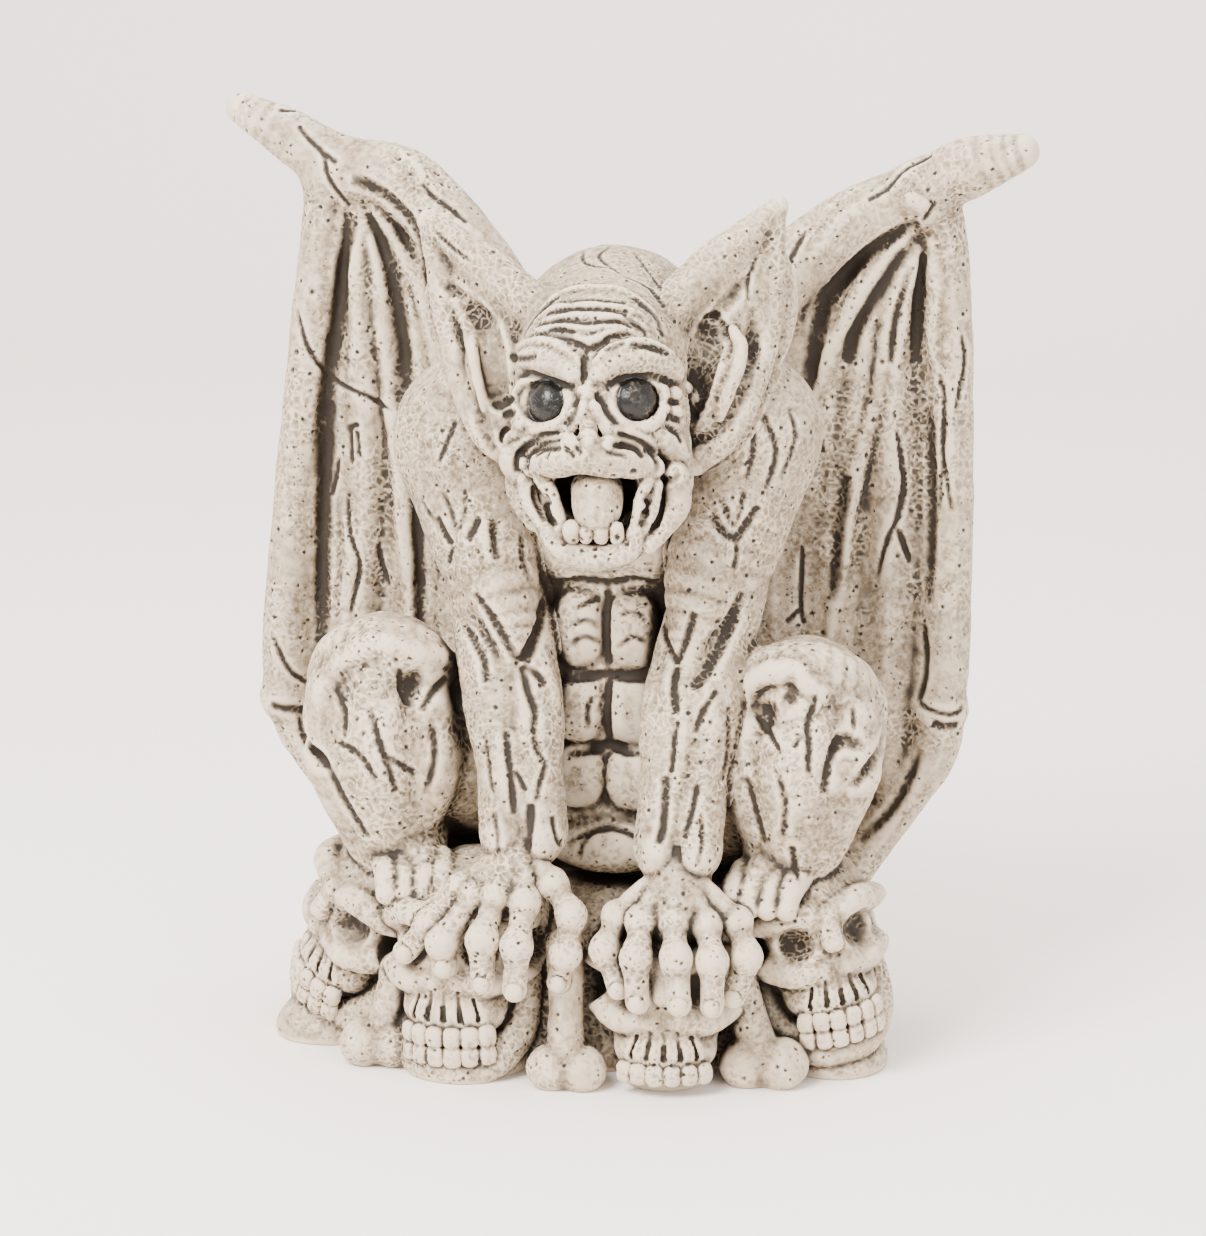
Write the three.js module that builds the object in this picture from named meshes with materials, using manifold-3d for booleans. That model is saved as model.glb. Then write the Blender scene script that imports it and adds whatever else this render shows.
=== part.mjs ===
import * as THREE from "three";
import { mergeVertices } from "three/addons/utils/BufferGeometryUtils.js";
import Module from "manifold-3d";

const wasm = await Module();
wasm.setup();

// Gargoyle crouched on a pile of skulls and bones, cast in one.
// Millimetres, Z up. The figure looks along -Y, and X runs to the viewer's right.
// The origin is on the flat underside, below the figure's belly.
// A limb is given as rows of x, y, z and the radius there, and a rounded mass
// as its centre, its radii and, where it leans, its turn in degrees.

// Wings. The two differ, as hand modelled wings do.
const LEFT_WING = {
  side: -1,
  claw: [[-128, 58, 369, 13], [-150, 61, 382, 11], [-170, 64, 392, 7]],
  arm: [
    [-128, 58, 366, 14], [-99, 55, 363, 15], [-72, 48, 340, 15], [-46, 38, 306, 16], [-28, 30, 280, 16],
  ],
  strut: [
    [-129, 58, 364, 12], [-134, 59, 336, 10], [-139, 58, 297, 10], [-147, 56, 219, 10.5],
    [-152, 52, 158, 10.5], [-152, 50, 130, 10],
  ],
  tail: [[-152, 50, 132, 10], [-146, 50, 114, 9], [-124, 49, 82, 8.5], [-98, 46, 48, 9]],
};
const RIGHT_WING = {
  side: 1,
  claw: [[128, 50, 365, 13], [151, 47, 376, 12.5], [171, 44, 383, 7.5]],
  arm: [[128, 51, 362, 14], [102, 50, 351, 14.5], [77, 46, 334, 14.5], [52, 38, 304, 15], [32, 30, 280, 16]],
  strut: [
    [132, 53, 360, 12], [138, 54, 342, 10], [141, 54, 305, 10], [143, 52, 229, 10],
    [143, 48, 167, 10], [141, 48, 136, 10],
  ],
  tail: [[141, 48, 138, 9.5], [139, 48, 118, 10], [124, 48, 92, 9], [94, 45, 48, 9]],
};
const WING_ELBOW_RADII = [11.5, 11, 9];
const WEB = { thickness: 11, hollow: 4.5, bulge: 5, ribWidth: 0.11, cells: [16, 14] };
const WEB_ROOT = { x: 36, y: 38, low: 44, high: 276 };
const RIBS = { spreads: [0.3, 0.52, 0.76], radius: 6, foot: { x: 146, y: 49, z: 96 }, bow: 16 };

// Body, from the hump of the back down to the hips
const MIDDLE = 3;
const BODY_MASSES = [
  { centre: [2, 22, 262], radii: [50, 38, 58] },
  { centre: [2, 8, 222], radii: [54, 40, 50] },
  { centre: [3, 8, 160], radii: [46, 38, 60] },
  { centre: [2, 16, 104], radii: [56, 45, 44] },
];
const NECK = [[6, -45, 290, 26], [3, -12, 286, 34], [0, 20, 274, 40]];
const CHEST = { centre: [17, -24, 222], radii: [18, 13, 15] };
const FLANK = { centre: [30, -12, 156], radii: [14, 20, 38] };
const BELLY_PADS = [
  { centre: [11.8, -22, 186], radii: [11.2, 13, 16.5] },
  { centre: [11.8, -22, 152], radii: [11.2, 13, 15] },
  { centre: [11.8, -22, 121], radii: [11.2, 13, 14] },
];
const SEAT = { centre: [5, -24, 90], radii: [28, 15, 12] };
const BACKBONE = { low: 96, high: 300, pitch: 17, sunk: 2, radii: [6, 7, 8] };

// Arms, from the shoulder over the elbow to the wrist
const LEFT_ARM = {
  side: -1,
  shoulder: [-61, -14, 264],
  elbow: [-43, -33, 204],
  crook: [-35, -43, 180],
  wrist: [-27, -62, 106],
};
const RIGHT_ARM = {
  side: 1,
  shoulder: [64, -14, 270],
  elbow: [51, -33, 207],
  crook: [43, -43, 182],
  wrist: [39, -64, 102],
};
const SHOULDER_RADII = [27.5, 28, 34];
const UPPER_ARM_RADII = [26, 24.5, 19];
const BICEPS_RADII = [13, 17.5, 9, 3];
const FOREARM_RADII = { outer: [12, 15.5, 13, 11.5], inner: [12, 14, 13, 11.5] };
const FOREARM_SPREADS = [8, 6.5, 5.5, 7];
const WRIST_BLOCK = { out: 8, radii: [9, 12.5, 12] };

// Fingers, each from the knuckle over the middle joint to the tip
const LEFT_FINGERS = [
  [[-51, -74, 84], [-64, -81, 69], [-75, -80, 56]],
  [[-45, -78, 82], [-58, -88, 64], [-57, -88, 53]],
  [[-36, -80, 83], [-40, -92, 67], [-40, -93, 48]],
  [[-24, -81, 81], [-25, -93, 65], [-26, -94, 46]],
  [[-13, -73, 87], [-4, -81, 76], [-6, -85, 60], [-9, -84, 47]],
];
const RIGHT_FINGERS = [
  [[15, -76, 75], [11, -84, 62], [17, -89, 47]],
  [[26, -82, 75], [25, -94, 63], [26, -97, 44]],
  [[40, -83, 76], [42, -96, 64], [44, -100, 45]],
  [[53, -81, 74], [57, -93, 62], [57, -95, 43]],
  [[65, -74, 74], [70, -82, 61], [65, -84, 44]],
];
const PALM_RADII = [13, 15];
const TENDON_RADII = [5, 6];
const FINGER_RADIUS = 6.2;
const FINGER_TIP_RADIUS = 5;
const KNUCKLE_RADII = [6.8, 6.8, 6.4];

// Squatting legs, given for the viewer's right. The left knee is higher and further out.
const KNEE_SHIFTS = { right: [0, 0], left: [3, 4] };
const THIGH = [[44, 26, 100, 34], [68, -4, 122, 36], [86, -24, 142, 32]];
const KNEE = { centre: [89, -30, 148], radii: [33, 29, 38], turn: [-10, 0, 0] };
const CALF = [[90, -38, 130, 28], [88, -38, 112, 24], [84, -36, 90, 19]];
const KNEE_RIDGE = [
  [66, -36, 164, 9], [73, -43, 171, 13], [88, -44, 172, 16], [104, -39, 168, 13], [112, -28, 160, 9],
];
const KNEE_HOLLOW = { centre: [73, -60, 159], radii: [10, 9, 9], turn: [0, 20, 0] };
const CALF_STRANDS = [
  [[90, -50, 160, 11], [87, -56, 136, 13], [86, -50, 102, 9]],
  [[108, -44, 156, 12], [109, -46, 130, 12], [96, -44, 98, 9]],
  [[68, -44, 150, 10], [67, -46, 126, 12], [76, -44, 98, 9]],
];
const CALF_NOTCH = [[128, -36, 146, 5], [120, -48, 139, 4], [114, -58, 132, 2]];
const FOOT = [[80, -34, 92, 15], [74, -50, 85, 12], [70, -60, 80, 8]];
const TOES = { count: 4, pitch: 8, rows: [[65, -50, 88, 6], [62, -61, 84, 5.5], [61, -67, 77, 4.5]] };

// Head, in its own frame round the middle of the face
const HEAD = [5.5, -55, 293];
const HEAD_MASSES = [
  { centre: [-1, 40, 13], radii: [41, 46, 38] },
  { centre: [0, 6, 8], radii: [36.5, 38, 37] },
  { centre: [0, -8, -8], radii: [37, 30, 28] },
  { centre: [2, -6, -34], radii: [28, 28, 27] },
];
const JAW_MUSCLE = [[32, -12, -18, 7], [30, -12, -38, 8.5], [25, -14, -50, 6]];
const JAW = [
  [-22, -10, -34, 6.5], [-20, -24, -46, 6.5], [-12, -31, -57, 6.5], [1, -34, -60, 6.5],
  [14, -31, -58, 6.5], [23, -24, -46, 6.5], [26, -10, -34, 6.5],
];
const MOUTH = { centre: [1, -35, -38], radii: [17.5, 17, 15] };
const TONGUE = [[2, -14, -34, 10], [2, -28, -35, 10.5], [2, -35, -43, 8]];
const LOWER_TEETH = { places: [-9, -2.6, 3.8, 10.4], foot: [-36.5, -58], top: [-38, -50], radius: 3 };
const UPPER_LIP = [
  [-24, -29, -25, 5], [-13, -36, -20.5, 7], [-1, -40, -17, 8], [11, -37, -20, 7], [25, -30, -24, 5],
];
const BROW = [[3, -36, 8, 7], [14, -35, 14, 9], [26, -27, 16, 8.5], [34, -15, 11, 6]];
const EYE = { centre: [20.5, -25, 0.5], radii: [9, 9, 9] };
const EYE_SOCKET = { centre: [20.5, -34, 0.5], radii: [11, 11, 10.4] };
const EYE_RING = { centre: [20.5, -33, 0], width: 12.5, depth: 5.5, height: 12, radius: 3.2, steps: 12 };
const CHEEK_FOLDS = [
  [[7, -37, -10, 3.5], [16, -34, -15, 4], [27, -26, -13, 4], [35, -13, -5, 3.5]],
  [[13, -35, -20, 3], [24, -29, -20, 3.5], [33, -17, -15, 3.5]],
];
const NOSE = [[0, -36, 9, 5], [0, -42, -1, 6.5], [0, -47, -8, 8], [0, -46, -13, 7.5]];
const NOSTRIL_WING = { centre: [7.5, -42, -13], radii: [7, 8, 7] };
const NOSTRIL = { centre: [4.8, -54, -10], radii: [2.8, 7, 5.8], tilt: -12 };
const FOREHEAD_FOLDS = { count: 4, low: 18, pitch: 6.5, radius: 2.6, dip: 2.5, halfWidth: 26 };

// Ears: the upper edge up to the tip, the rim down to the lobe, and the masses between them
const LEFT_EAR = {
  top: [[-22, -46, 326, 9], [-45, -36, 341, 8], [-62, -28, 352, 6.5], [-73, -23, 359, 4]],
  rim: [
    [-72, -24, 357, 4], [-66, -30, 334, 5.5], [-62, -34, 316, 5.5],
    [-55, -42, 294, 6], [-44, -49, 274, 6.5], [-34, -48, 266, 7],
  ],
  shell: { centre: [-46, -34, 316], radii: [28, 8, 36], turn: [0, -28, -22] },
  base: { centre: [-38, -44, 294], radii: [14, 12, 27], turn: [0, -16, 0] },
  hollow: { centre: [-48, -48, 308], radii: [8, 12, 23], turn: [0, -22, 0] },
};
const RIGHT_EAR = {
  top: [[32, -46, 328, 9], [50, -36, 346, 8], [64, -28, 358, 6.5], [74.5, -23, 368, 4]],
  rim: [
    [74, -24, 365, 4], [73, -30, 338, 5.5], [72, -33, 318, 5.5],
    [66, -40, 296, 6], [56, -46, 276, 6.5], [43, -47, 265, 7],
  ],
  shell: { centre: [55, -34, 320], radii: [28, 8, 38], turn: [0, 22, 18] },
  base: { centre: [50, -42, 294], radii: [15, 12, 27], turn: [0, 14, 0] },
  hollow: { centre: [55, -46, 306], radii: [8, 12, 25], turn: [0, 16, 0] },
};

// Pile: where each skull sits, how it is turned, its scale, and which rows of teeth show
const SKULLS = [
  { place: [-92, -26, 62], turn: [0, 22, -52], scale: 1, teeth: true, jaw: true },
  { place: [-53, -50, 57], turn: [0, -2, -10], scale: 1.04, teeth: true, jaw: true },
  { place: [34, -57, 45], turn: [0, 0, 4], scale: 1, teeth: true, jaw: false },
  { place: [90, -33, 62], turn: [0, -9, 27], scale: 0.96, teeth: true, jaw: true },
  { place: [-66, 40, 40], turn: [0, 6, 162], scale: 0.95, teeth: false, jaw: false },
  { place: [6, 46, 37], turn: [0, -4, 184], scale: 0.95, teeth: false, jaw: false },
  { place: [76, 36, 40], turn: [0, 0, 208], scale: 0.95, teeth: false, jaw: false },
];
const BONES = [
  { from: [-8, -70, 58], to: [-6, -82, 8], radius: 8.5 },
  { from: [62, -60, 46], to: [76, -67, 9], radius: 9.5 },
  { from: [-82, -56, 40], to: [-90, -64, 9], radius: 8.5 },
  { from: [-98, 8, 50], to: [-104, 30, 9], radius: 9 },
  { from: [92, 12, 50], to: [96, 34, 9], radius: 9 },
];
const MOUND = [
  { centre: [-4, 6, 14], radii: [110, 70, 60] },
  { centre: [-4, -14, 40], radii: [66, 40, 36] },
  { centre: [-120, -28, 4], radii: [22, 18, 16] },
  { centre: [-54, -58, 2], radii: [28, 24, 14] },
  { centre: [34, -62, 4], radii: [20, 22, 14] },
  { centre: [104, -36, 4], radii: [22, 24, 14] },
];

// A skull facing -Y, with the middle of its brain case at the origin
const BRAIN_CASE = { centre: [0, 6, 5], radii: [32, 36, 28] };
const SKULL_FACE = [
  { centre: [0, -13, -10], radii: [26, 19, 22] },
  { centre: [0, -19, -27], radii: [21.5, 16, 13] },
];
const SKULL_BROW = [[2, -27, 10, 5], [16, -24.5, 14, 6], [29, -11, 8, 6]];
const CHEEKBONE = [[6, -28, -13, 5], [18, -25, -13, 6], [28, -11, -9, 6.5], [30, 4, -6, 5]];
const SKULL_SOCKET = { centre: [17, -34, 1], radii: [11, 15, 9.5] };
const NOSE_BONE = [[0, -28, 10, 5], [0, -33, 0, 4.5]];
const NOSE_HOLE = [[0, -37, -6, 3.5], [0, -38, -12, 5.5]];
const SKULL_JAW = [
  [-26, -2, -18, 6], [-24, -12, -38, 7.5], [-13, -24, -49, 8], [0, -28, -51, 8],
  [13, -24, -49, 8], [24, -12, -38, 7.5], [26, -2, -18, 6],
];
const TEETH = {
  count: 6, pitch: 17, back: -13, width: 24, depth: 21.5, radii: [3.9, 3.6, 4.6], upper: -35, lower: -43,
};

const SIDES = [-1, 1];
const TRIANGLE_GOAL = 9400;
const FLOOR_BLOCK = { side: 600, height: 200 };

// Building blocks

// Turns a closed geometry into a solid, with its shared vertices merged and its faces outward.
function solidOf(geometry) {
  const bare = geometry.index ? geometry.toNonIndexed() : geometry.clone();
  bare.deleteAttribute("normal");
  bare.deleteAttribute("uv");
  const merged = mergeVertices(bare, 1e-3);
  const p = merged.attributes.position.array;
  const faces = [];
  let volume = 0;
  for (let i = 0; i < merged.index.count; i += 3) {
    const [a, b, c] = merged.index.array.slice(i, i + 3);
    if (a === b || b === c || c === a) continue;
    faces.push(a, b, c);
    const [u, v, w] = [a, b, c].map((k) => new THREE.Vector3().fromArray(p, 3 * k));
    volume += u.dot(v.cross(w));
  }
  if (volume < 0) faces.reverse();
  const vertProperties = new Float32Array(p);
  const triVerts = new Uint32Array(faces);
  return new wasm.Manifold(new wasm.Mesh({ numProp: 3, vertProperties, triVerts }));
}

function turnOf([x, y, z]) {
  const degrees = THREE.MathUtils.degToRad;
  return new THREE.Euler(degrees(x), degrees(y), degrees(z), "ZYX");
}

// A rounded mass: an ellipsoid.
function lump({ centre, radii, turn = [0, 0, 0] }, detail = 12) {
  const geometry = new THREE.SphereGeometry(1, detail, Math.round(detail * 0.7));
  geometry.scale(...radii);
  geometry.applyMatrix4(new THREE.Matrix4().makeRotationFromEuler(turnOf(turn)));
  geometry.translate(...centre);
  return geometry;
}

// A rounded block: an ellipsoid swelled towards its corners.
function pad({ centre, radii }) {
  const geometry = new THREE.SphereGeometry(1, 14, 10);
  const place = geometry.attributes.position;
  const swell = (value) => Math.sign(value) * Math.abs(value) ** 0.6;
  for (let i = 0; i < place.count; i += 1) {
    place.setXYZ(i, swell(place.getX(i)), swell(place.getY(i)), swell(place.getZ(i)));
  }
  geometry.scale(...radii);
  geometry.translate(...centre);
  return geometry;
}

// A tapering member with round ends: a turned profile laid along a smooth curve.
function limb(rows, sides = 9, steps = 3) {
  const path = new THREE.CatmullRomCurve3(rows.map((r) => new THREE.Vector3(...r)));
  const count = (rows.length - 1) * steps;
  const stations = [];
  for (let i = 0; i <= count; i += 1) {
    const t = i / count;
    const row = Math.min(Math.floor(t * (rows.length - 1)), rows.length - 2);
    const share = t * (rows.length - 1) - row;
    const radius = THREE.MathUtils.lerp(rows[row][3], rows[row + 1][3], share);
    stations.push({ at: path.getPoint(t), ahead: path.getTangent(t), radius, reach: 0 });
  }
  const first = stations[0];
  const last = stations[count];
  const cap = (end, sign) => [1, 0.55].map((share) => ({
    ...end,
    radius: end.radius * Math.sqrt(1 - share * share),
    reach: sign * share * end.radius,
  }));
  const rings = [...cap(first, -1), ...stations, ...cap(last, 1).reverse()];
  const profile = rings.map((ring, i) => new THREE.Vector2(ring.radius, i));
  const geometry = new THREE.LatheGeometry(profile, sides);
  const place = geometry.attributes.position;
  let across = new THREE.Vector3(1, 0, 0);
  if (Math.abs(first.ahead.x) > 0.8) across = new THREE.Vector3(0, 1, 0);
  const frames = rings.map((ring) => {
    across = across.clone().addScaledVector(ring.ahead, -across.dot(ring.ahead)).normalize();
    return { across, up: new THREE.Vector3().crossVectors(ring.ahead, across) };
  });
  for (let i = 0; i < place.count; i += 1) {
    const ring = Math.round(place.getY(i));
    const { at, ahead, reach } = rings[ring];
    const point = at.clone().addScaledVector(ahead, reach);
    point.addScaledVector(frames[ring].across, place.getX(i));
    point.addScaledVector(frames[ring].up, place.getZ(i));
    place.setXYZ(i, point.x, point.y, point.z);
  }
  return geometry;
}

// Joins or cuts one form after another, in the order they are given.
class Carving {
  constructor(place = new THREE.Matrix4()) {
    this.place = place;
    this.solid = null;
  }

  add(...geometries) {
    for (const geometry of geometries) {
      const next = solidOf(geometry.applyMatrix4(this.place));
      this.solid = this.solid ? this.solid.add(next) : next;
    }
    return this;
  }

  cut(...geometries) {
    for (const geometry of geometries) {
      this.solid = this.solid.subtract(solidOf(geometry.applyMatrix4(this.place)));
    }
    return this;
  }
}

function placement(place, turn = [0, 0, 0], scale = 1) {
  const spin = new THREE.Quaternion().setFromEuler(turnOf(turn));
  const size = new THREE.Vector3(scale, scale, scale);
  return new THREE.Matrix4().compose(new THREE.Vector3(...place), spin, size);
}

function between(a, b, share) {
  return a.map((value, i) => THREE.MathUtils.lerp(value, b[i], share));
}

function shifted([x, y, z, ...rest], dx, dy, dz) {
  return [x + dx, y + dy, z + dz, ...rest];
}

// The same rows or mass on the viewer's right (1) or left (-1)
function rowsOn(side, rows) {
  return rows.map(([x, ...rest]) => [side * x, ...rest]);
}

function massOn(side, { centre: [x, y, z], radii }) {
  return { centre: [side * x, y, z], radii };
}

// How far back the body reaches on its middle line at a height
function backAt(z) {
  const reach = BODY_MASSES.map(({ centre, radii }) => {
    const height = (z - centre[2]) / radii[2];
    return centre[1] + radii[1] * Math.sqrt(Math.max(1 - height * height, 0));
  });
  return Math.max(...reach);
}

// Humped back, rib cage, waist and hips, with the chest and belly muscles on the front
function torso() {
  const body = new Carving();
  for (const mass of BODY_MASSES) body.add(lump(mass, 18));
  body.add(limb(NECK, 12));
  for (const side of SIDES) {
    const middle = placement([MIDDLE, 0, 0]);
    body.add(lump(massOn(side, CHEST)).applyMatrix4(middle));
    body.add(lump(massOn(side, FLANK)).applyMatrix4(middle));
    for (const block of BELLY_PADS) body.add(pad(massOn(side, block)).applyMatrix4(middle));
  }
  body.add(lump(SEAT));
  // backbone, a row of knobs sunk halfway into the back
  for (let z = BACKBONE.low; z < BACKBONE.high; z += BACKBONE.pitch) {
    body.add(lump({ centre: [2, backAt(z) - BACKBONE.sunk, z], radii: BACKBONE.radii }, 8));
  }
  return body.solid;
}

function arm({ side, shoulder, elbow, crook, wrist }) {
  const flesh = new Carving();
  flesh.add(lump({ centre: shoulder, radii: SHOULDER_RADII }, 16));
  const upper = [shoulder, between(shoulder, elbow, 0.5), elbow];
  flesh.add(limb(upper.map((point, i) => [...point, UPPER_ARM_RADII[i]]), 14));
  // biceps, running down to a point in the crook of the arm
  const biceps = [
    shifted(shoulder, -side * 4, -12, -12),
    shifted(between(shoulder, crook, 0.55), -side * 4, -9, 0),
    shifted(crook, -side, -6, 10),
    shifted(crook, -side, -12, -4),
  ];
  flesh.add(limb(biceps.map((point, i) => [...point, BICEPS_RADII[i]]), 10));
  // forearm: two long masses side by side, then the blocky end over the hand
  for (const half of SIDES) {
    const out = side * half;
    const radii = half > 0 ? FOREARM_RADII.outer : FOREARM_RADII.inner;
    const line = [
      shifted(elbow, 0, 4 - 3 * half, -4),
      shifted(between(crook, wrist, 0.28), 0, -1, 0),
      between(crook, wrist, 0.62),
      wrist,
    ];
    const rows = line.map((point, i) => [...shifted(point, out * FOREARM_SPREADS[i], 0, 0), radii[i]]);
    flesh.add(limb(rows, 10));
    const block = shifted(wrist, out * WRIST_BLOCK.out, -2, -2);
    flesh.add(lump({ centre: block, radii: WRIST_BLOCK.radii }, 10));
  }
  return flesh.solid;
}

function hand(fingers, { wrist }) {
  const flesh = new Carving();
  const middle = fingers[2][0];
  const palm = [shifted(wrist, 0, 3, -2), between(wrist, shifted(middle, 0, 8, -6), 0.8)];
  flesh.add(limb(palm.map((point, i) => [...point, PALM_RADII[i]]), 10));
  for (const finger of fingers) {
    const knuckle = finger[0];
    const tendon = [shifted(between(wrist, knuckle, 0.25), 0, -4, -2), knuckle];
    flesh.add(limb(tendon.map((point, i) => [...point, TENDON_RADII[i]]), 7, 2));
    const radii = finger.map(() => FINGER_RADIUS).with(-1, FINGER_TIP_RADIUS);
    flesh.add(limb(finger.map((joint, i) => [...joint, radii[i]]), 8, 2));
    flesh.add(lump({ centre: shifted(knuckle, 0, -1, 0), radii: KNUCKLE_RADII }, 8));
  }
  return flesh.solid;
}

// The leg is modelled for the viewer's right and mirrored for the left.
function leg(side) {
  const [out, lift] = side < 0 ? KNEE_SHIFTS.left : KNEE_SHIFTS.right;
  const flesh = new Carving(new THREE.Matrix4().makeScale(side, 1, 1));
  // rows and masses move with the knee, more so the higher they sit on the shin
  const moved = (rows) => rows.map((row) => {
    const share = THREE.MathUtils.smoothstep(row[2], 130, 145);
    return shifted(row, out, 0, lift * share);
  });
  const knee = (mass) => ({ ...mass, centre: shifted(mass.centre, out, 0, lift) });
  flesh.add(limb([...THIGH.slice(0, 2), ...moved(THIGH.slice(2))], 16));
  flesh.add(lump(knee(KNEE), 16));
  flesh.add(limb(moved(CALF), 14));
  flesh.add(limb(moved(KNEE_RIDGE), 12, 2));
  // hollow below the ridge on the inner side, and the strands of the calf
  flesh.cut(lump(knee(KNEE_HOLLOW), 10));
  for (const strand of CALF_STRANDS) flesh.add(limb(moved(strand), 10));
  // notch between thigh and calf
  flesh.cut(limb(CALF_NOTCH, 6));
  flesh.add(limb(FOOT, 10));
  for (let toe = 0; toe < TOES.count; toe += 1) {
    flesh.add(limb(TOES.rows.map((row) => shifted(row, toe * TOES.pitch, 0, 0)), 7, 2));
  }
  return flesh.solid;
}

// A fold across the forehead, dipping in the middle and lying on the brain case
function foreheadFold(z) {
  const { centre: [, back, high], radii } = HEAD_MASSES[1];
  const { halfWidth, dip, radius } = FOREHEAD_FOLDS;
  return [-1, -0.5, 0, 0.5, 1].map((share) => {
    const width = share * halfWidth / radii[0];
    const height = (z - high) / radii[2];
    const reach = radii[1] * Math.sqrt(Math.max(1 - width ** 2 - height ** 2, 0.02));
    return [share * halfWidth, back - reach + 0.6, z - 2 + dip * Math.abs(share), radius];
  });
}

function head() {
  const flesh = new Carving(placement(HEAD));
  for (const mass of HEAD_MASSES) flesh.add(lump(mass, 20));
  for (const side of SIDES) flesh.add(limb(rowsOn(side, JAW_MUSCLE)));
  flesh.add(limb(JAW, 9, 2));
  flesh.cut(lump(MOUTH, 16));
  flesh.add(limb(TONGUE, 10));
  const { places, foot, top, radius } = LOWER_TEETH;
  for (const x of places) flesh.add(limb([[x, ...foot, radius], [x, ...top, radius]], 8, 1));
  flesh.add(limb(UPPER_LIP, 10, 2));
  for (const side of SIDES) {
    flesh.add(limb(rowsOn(side, BROW), 9, 2));
    // ring round the eye, the socket cut through it and the eyeball set back in it
    const { centre: [x, y, z], width, depth, height, radius: thick, steps } = EYE_RING;
    const ring = [];
    for (let step = 0; step <= steps; step += 1) {
      const angle = step * 2 * Math.PI / steps;
      const out = Math.cos(angle);
      ring.push([side * (x + width * out), y + depth * out, z + height * Math.sin(angle), thick]);
    }
    flesh.add(limb(ring, 6, 1));
    flesh.cut(lump(massOn(side, EYE_SOCKET), 14));
    flesh.add(lump(massOn(side, EYE), 12));
    for (const fold of CHEEK_FOLDS) flesh.add(limb(rowsOn(side, fold), 7, 2));
  }
  flesh.add(limb(NOSE, 10, 2));
  for (const side of SIDES) {
    flesh.add(lump(massOn(side, NOSTRIL_WING), 9));
    flesh.cut(lump({ ...massOn(side, NOSTRIL), turn: [0, side * NOSTRIL.tilt, 0] }, 8));
  }
  const { count, low, pitch } = FOREHEAD_FOLDS;
  for (let fold = 0; fold < count; fold += 1) flesh.add(limb(foreheadFold(low + fold * pitch), 6, 2));
  return flesh.solid;
}

function ear({ top, rim, shell, base, hollow }) {
  const flesh = new Carving();
  flesh.add(lump(shell, 14), lump(base), limb(top), limb(rim, 8, 2));
  flesh.cut(lump(hollow));
  return flesh.solid;
}

// The web: a curved slab between the back and the strut, hollowed between its ribs
function web({ side, strut, tail, arm: bone }) {
  const outline = [...strut.slice(0, -1), ...tail].reverse();
  const outer = new THREE.CatmullRomCurve3(outline.map((r) => new THREE.Vector3(...r)));
  const crest = bone[2][2] - THREE.MathUtils.lerp(WEB_ROOT.high, bone[0][2], 0.45);
  const geometry = new THREE.BoxGeometry(1, 1, 1, ...WEB.cells, 1);
  const place = geometry.attributes.position;
  for (let i = 0; i < place.count; i += 1) {
    const across = place.getX(i) + 0.5;
    const up = place.getY(i) + 0.5;
    const face = place.getZ(i);
    const height = THREE.MathUtils.lerp(WEB_ROOT.low, WEB_ROOT.high, up);
    const point = new THREE.Vector3(side * WEB_ROOT.x, WEB_ROOT.y, height).lerp(outer.getPoint(up), across);
    const bulge = Math.sin(Math.PI * across);
    const ends = Math.min(across, 1 - across);
    const rib = RIBS.spreads.reduce((near, spread) => Math.min(near, Math.abs(across - spread)), ends);
    const hollow = WEB.hollow * Math.min(1, rib / WEB.ribWidth);
    point.z += crest * bulge * up ** 4;
    point.y += WEB.bulge * bulge + face * WEB.thickness + (face > 0 ? -0.35 : 0.5) * hollow;
    place.setXYZ(i, point.x, point.y, point.z);
  }
  return geometry;
}

function wing(form) {
  const flesh = new Carving();
  flesh.add(web(form), limb(form.arm, 12), limb(form.claw, 10));
  flesh.add(limb(form.strut, 10, 2), limb(form.tail, 9, 2));
  const elbow = form.strut[form.strut.length - 1].slice(0, 3);
  flesh.add(lump({ centre: elbow, radii: WING_ELBOW_RADII }, 10));
  // ribs fan down from the joint
  const [x, y, z] = form.strut[0];
  const { foot, radius, bow } = RIBS;
  for (const spread of RIBS.spreads) {
    const low = [form.side * THREE.MathUtils.lerp(WEB_ROOT.x, foot.x, spread), foot.y, foot.z];
    const high = [x * THREE.MathUtils.lerp(0.8, 0.95, spread), y - 2, z - 12];
    const bend = shifted(between(low, high, 0.62), form.side * (spread - 1) * bow, 1, 0);
    flesh.add(limb([[...high, radius + 1], [...bend, radius], [...low, radius]], 8, 4));
  }
  return flesh.solid;
}

function teethAt(z) {
  const { count, pitch, back, width, depth, radii } = TEETH;
  const row = [];
  for (let i = 0; i < count; i += 1) {
    const turn = (i - (count - 1) / 2) * pitch;
    const angle = THREE.MathUtils.degToRad(turn);
    const centre = [width * Math.sin(angle), back - depth * Math.cos(angle), z];
    row.push(lump({ centre, radii, turn: [0, 0, turn] }, 7));
  }
  return row;
}

function skull({ place, turn, scale, teeth, jaw }) {
  const bone = new Carving(placement(place, turn, scale));
  bone.add(lump(BRAIN_CASE, 18));
  for (const mass of SKULL_FACE) bone.add(lump(mass, 14));
  for (const side of SIDES) {
    bone.add(limb(rowsOn(side, SKULL_BROW), 8, 2), limb(rowsOn(side, CHEEKBONE), 8, 2));
    bone.cut(lump(massOn(side, SKULL_SOCKET)));
  }
  bone.add(limb(NOSE_BONE, 7, 2));
  bone.cut(limb(NOSE_HOLE, 8, 1));
  if (teeth) bone.add(...teethAt(TEETH.upper));
  if (jaw) bone.add(limb(SKULL_JAW, 8, 2), ...teethAt(TEETH.lower));
  return bone.solid;
}

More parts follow.
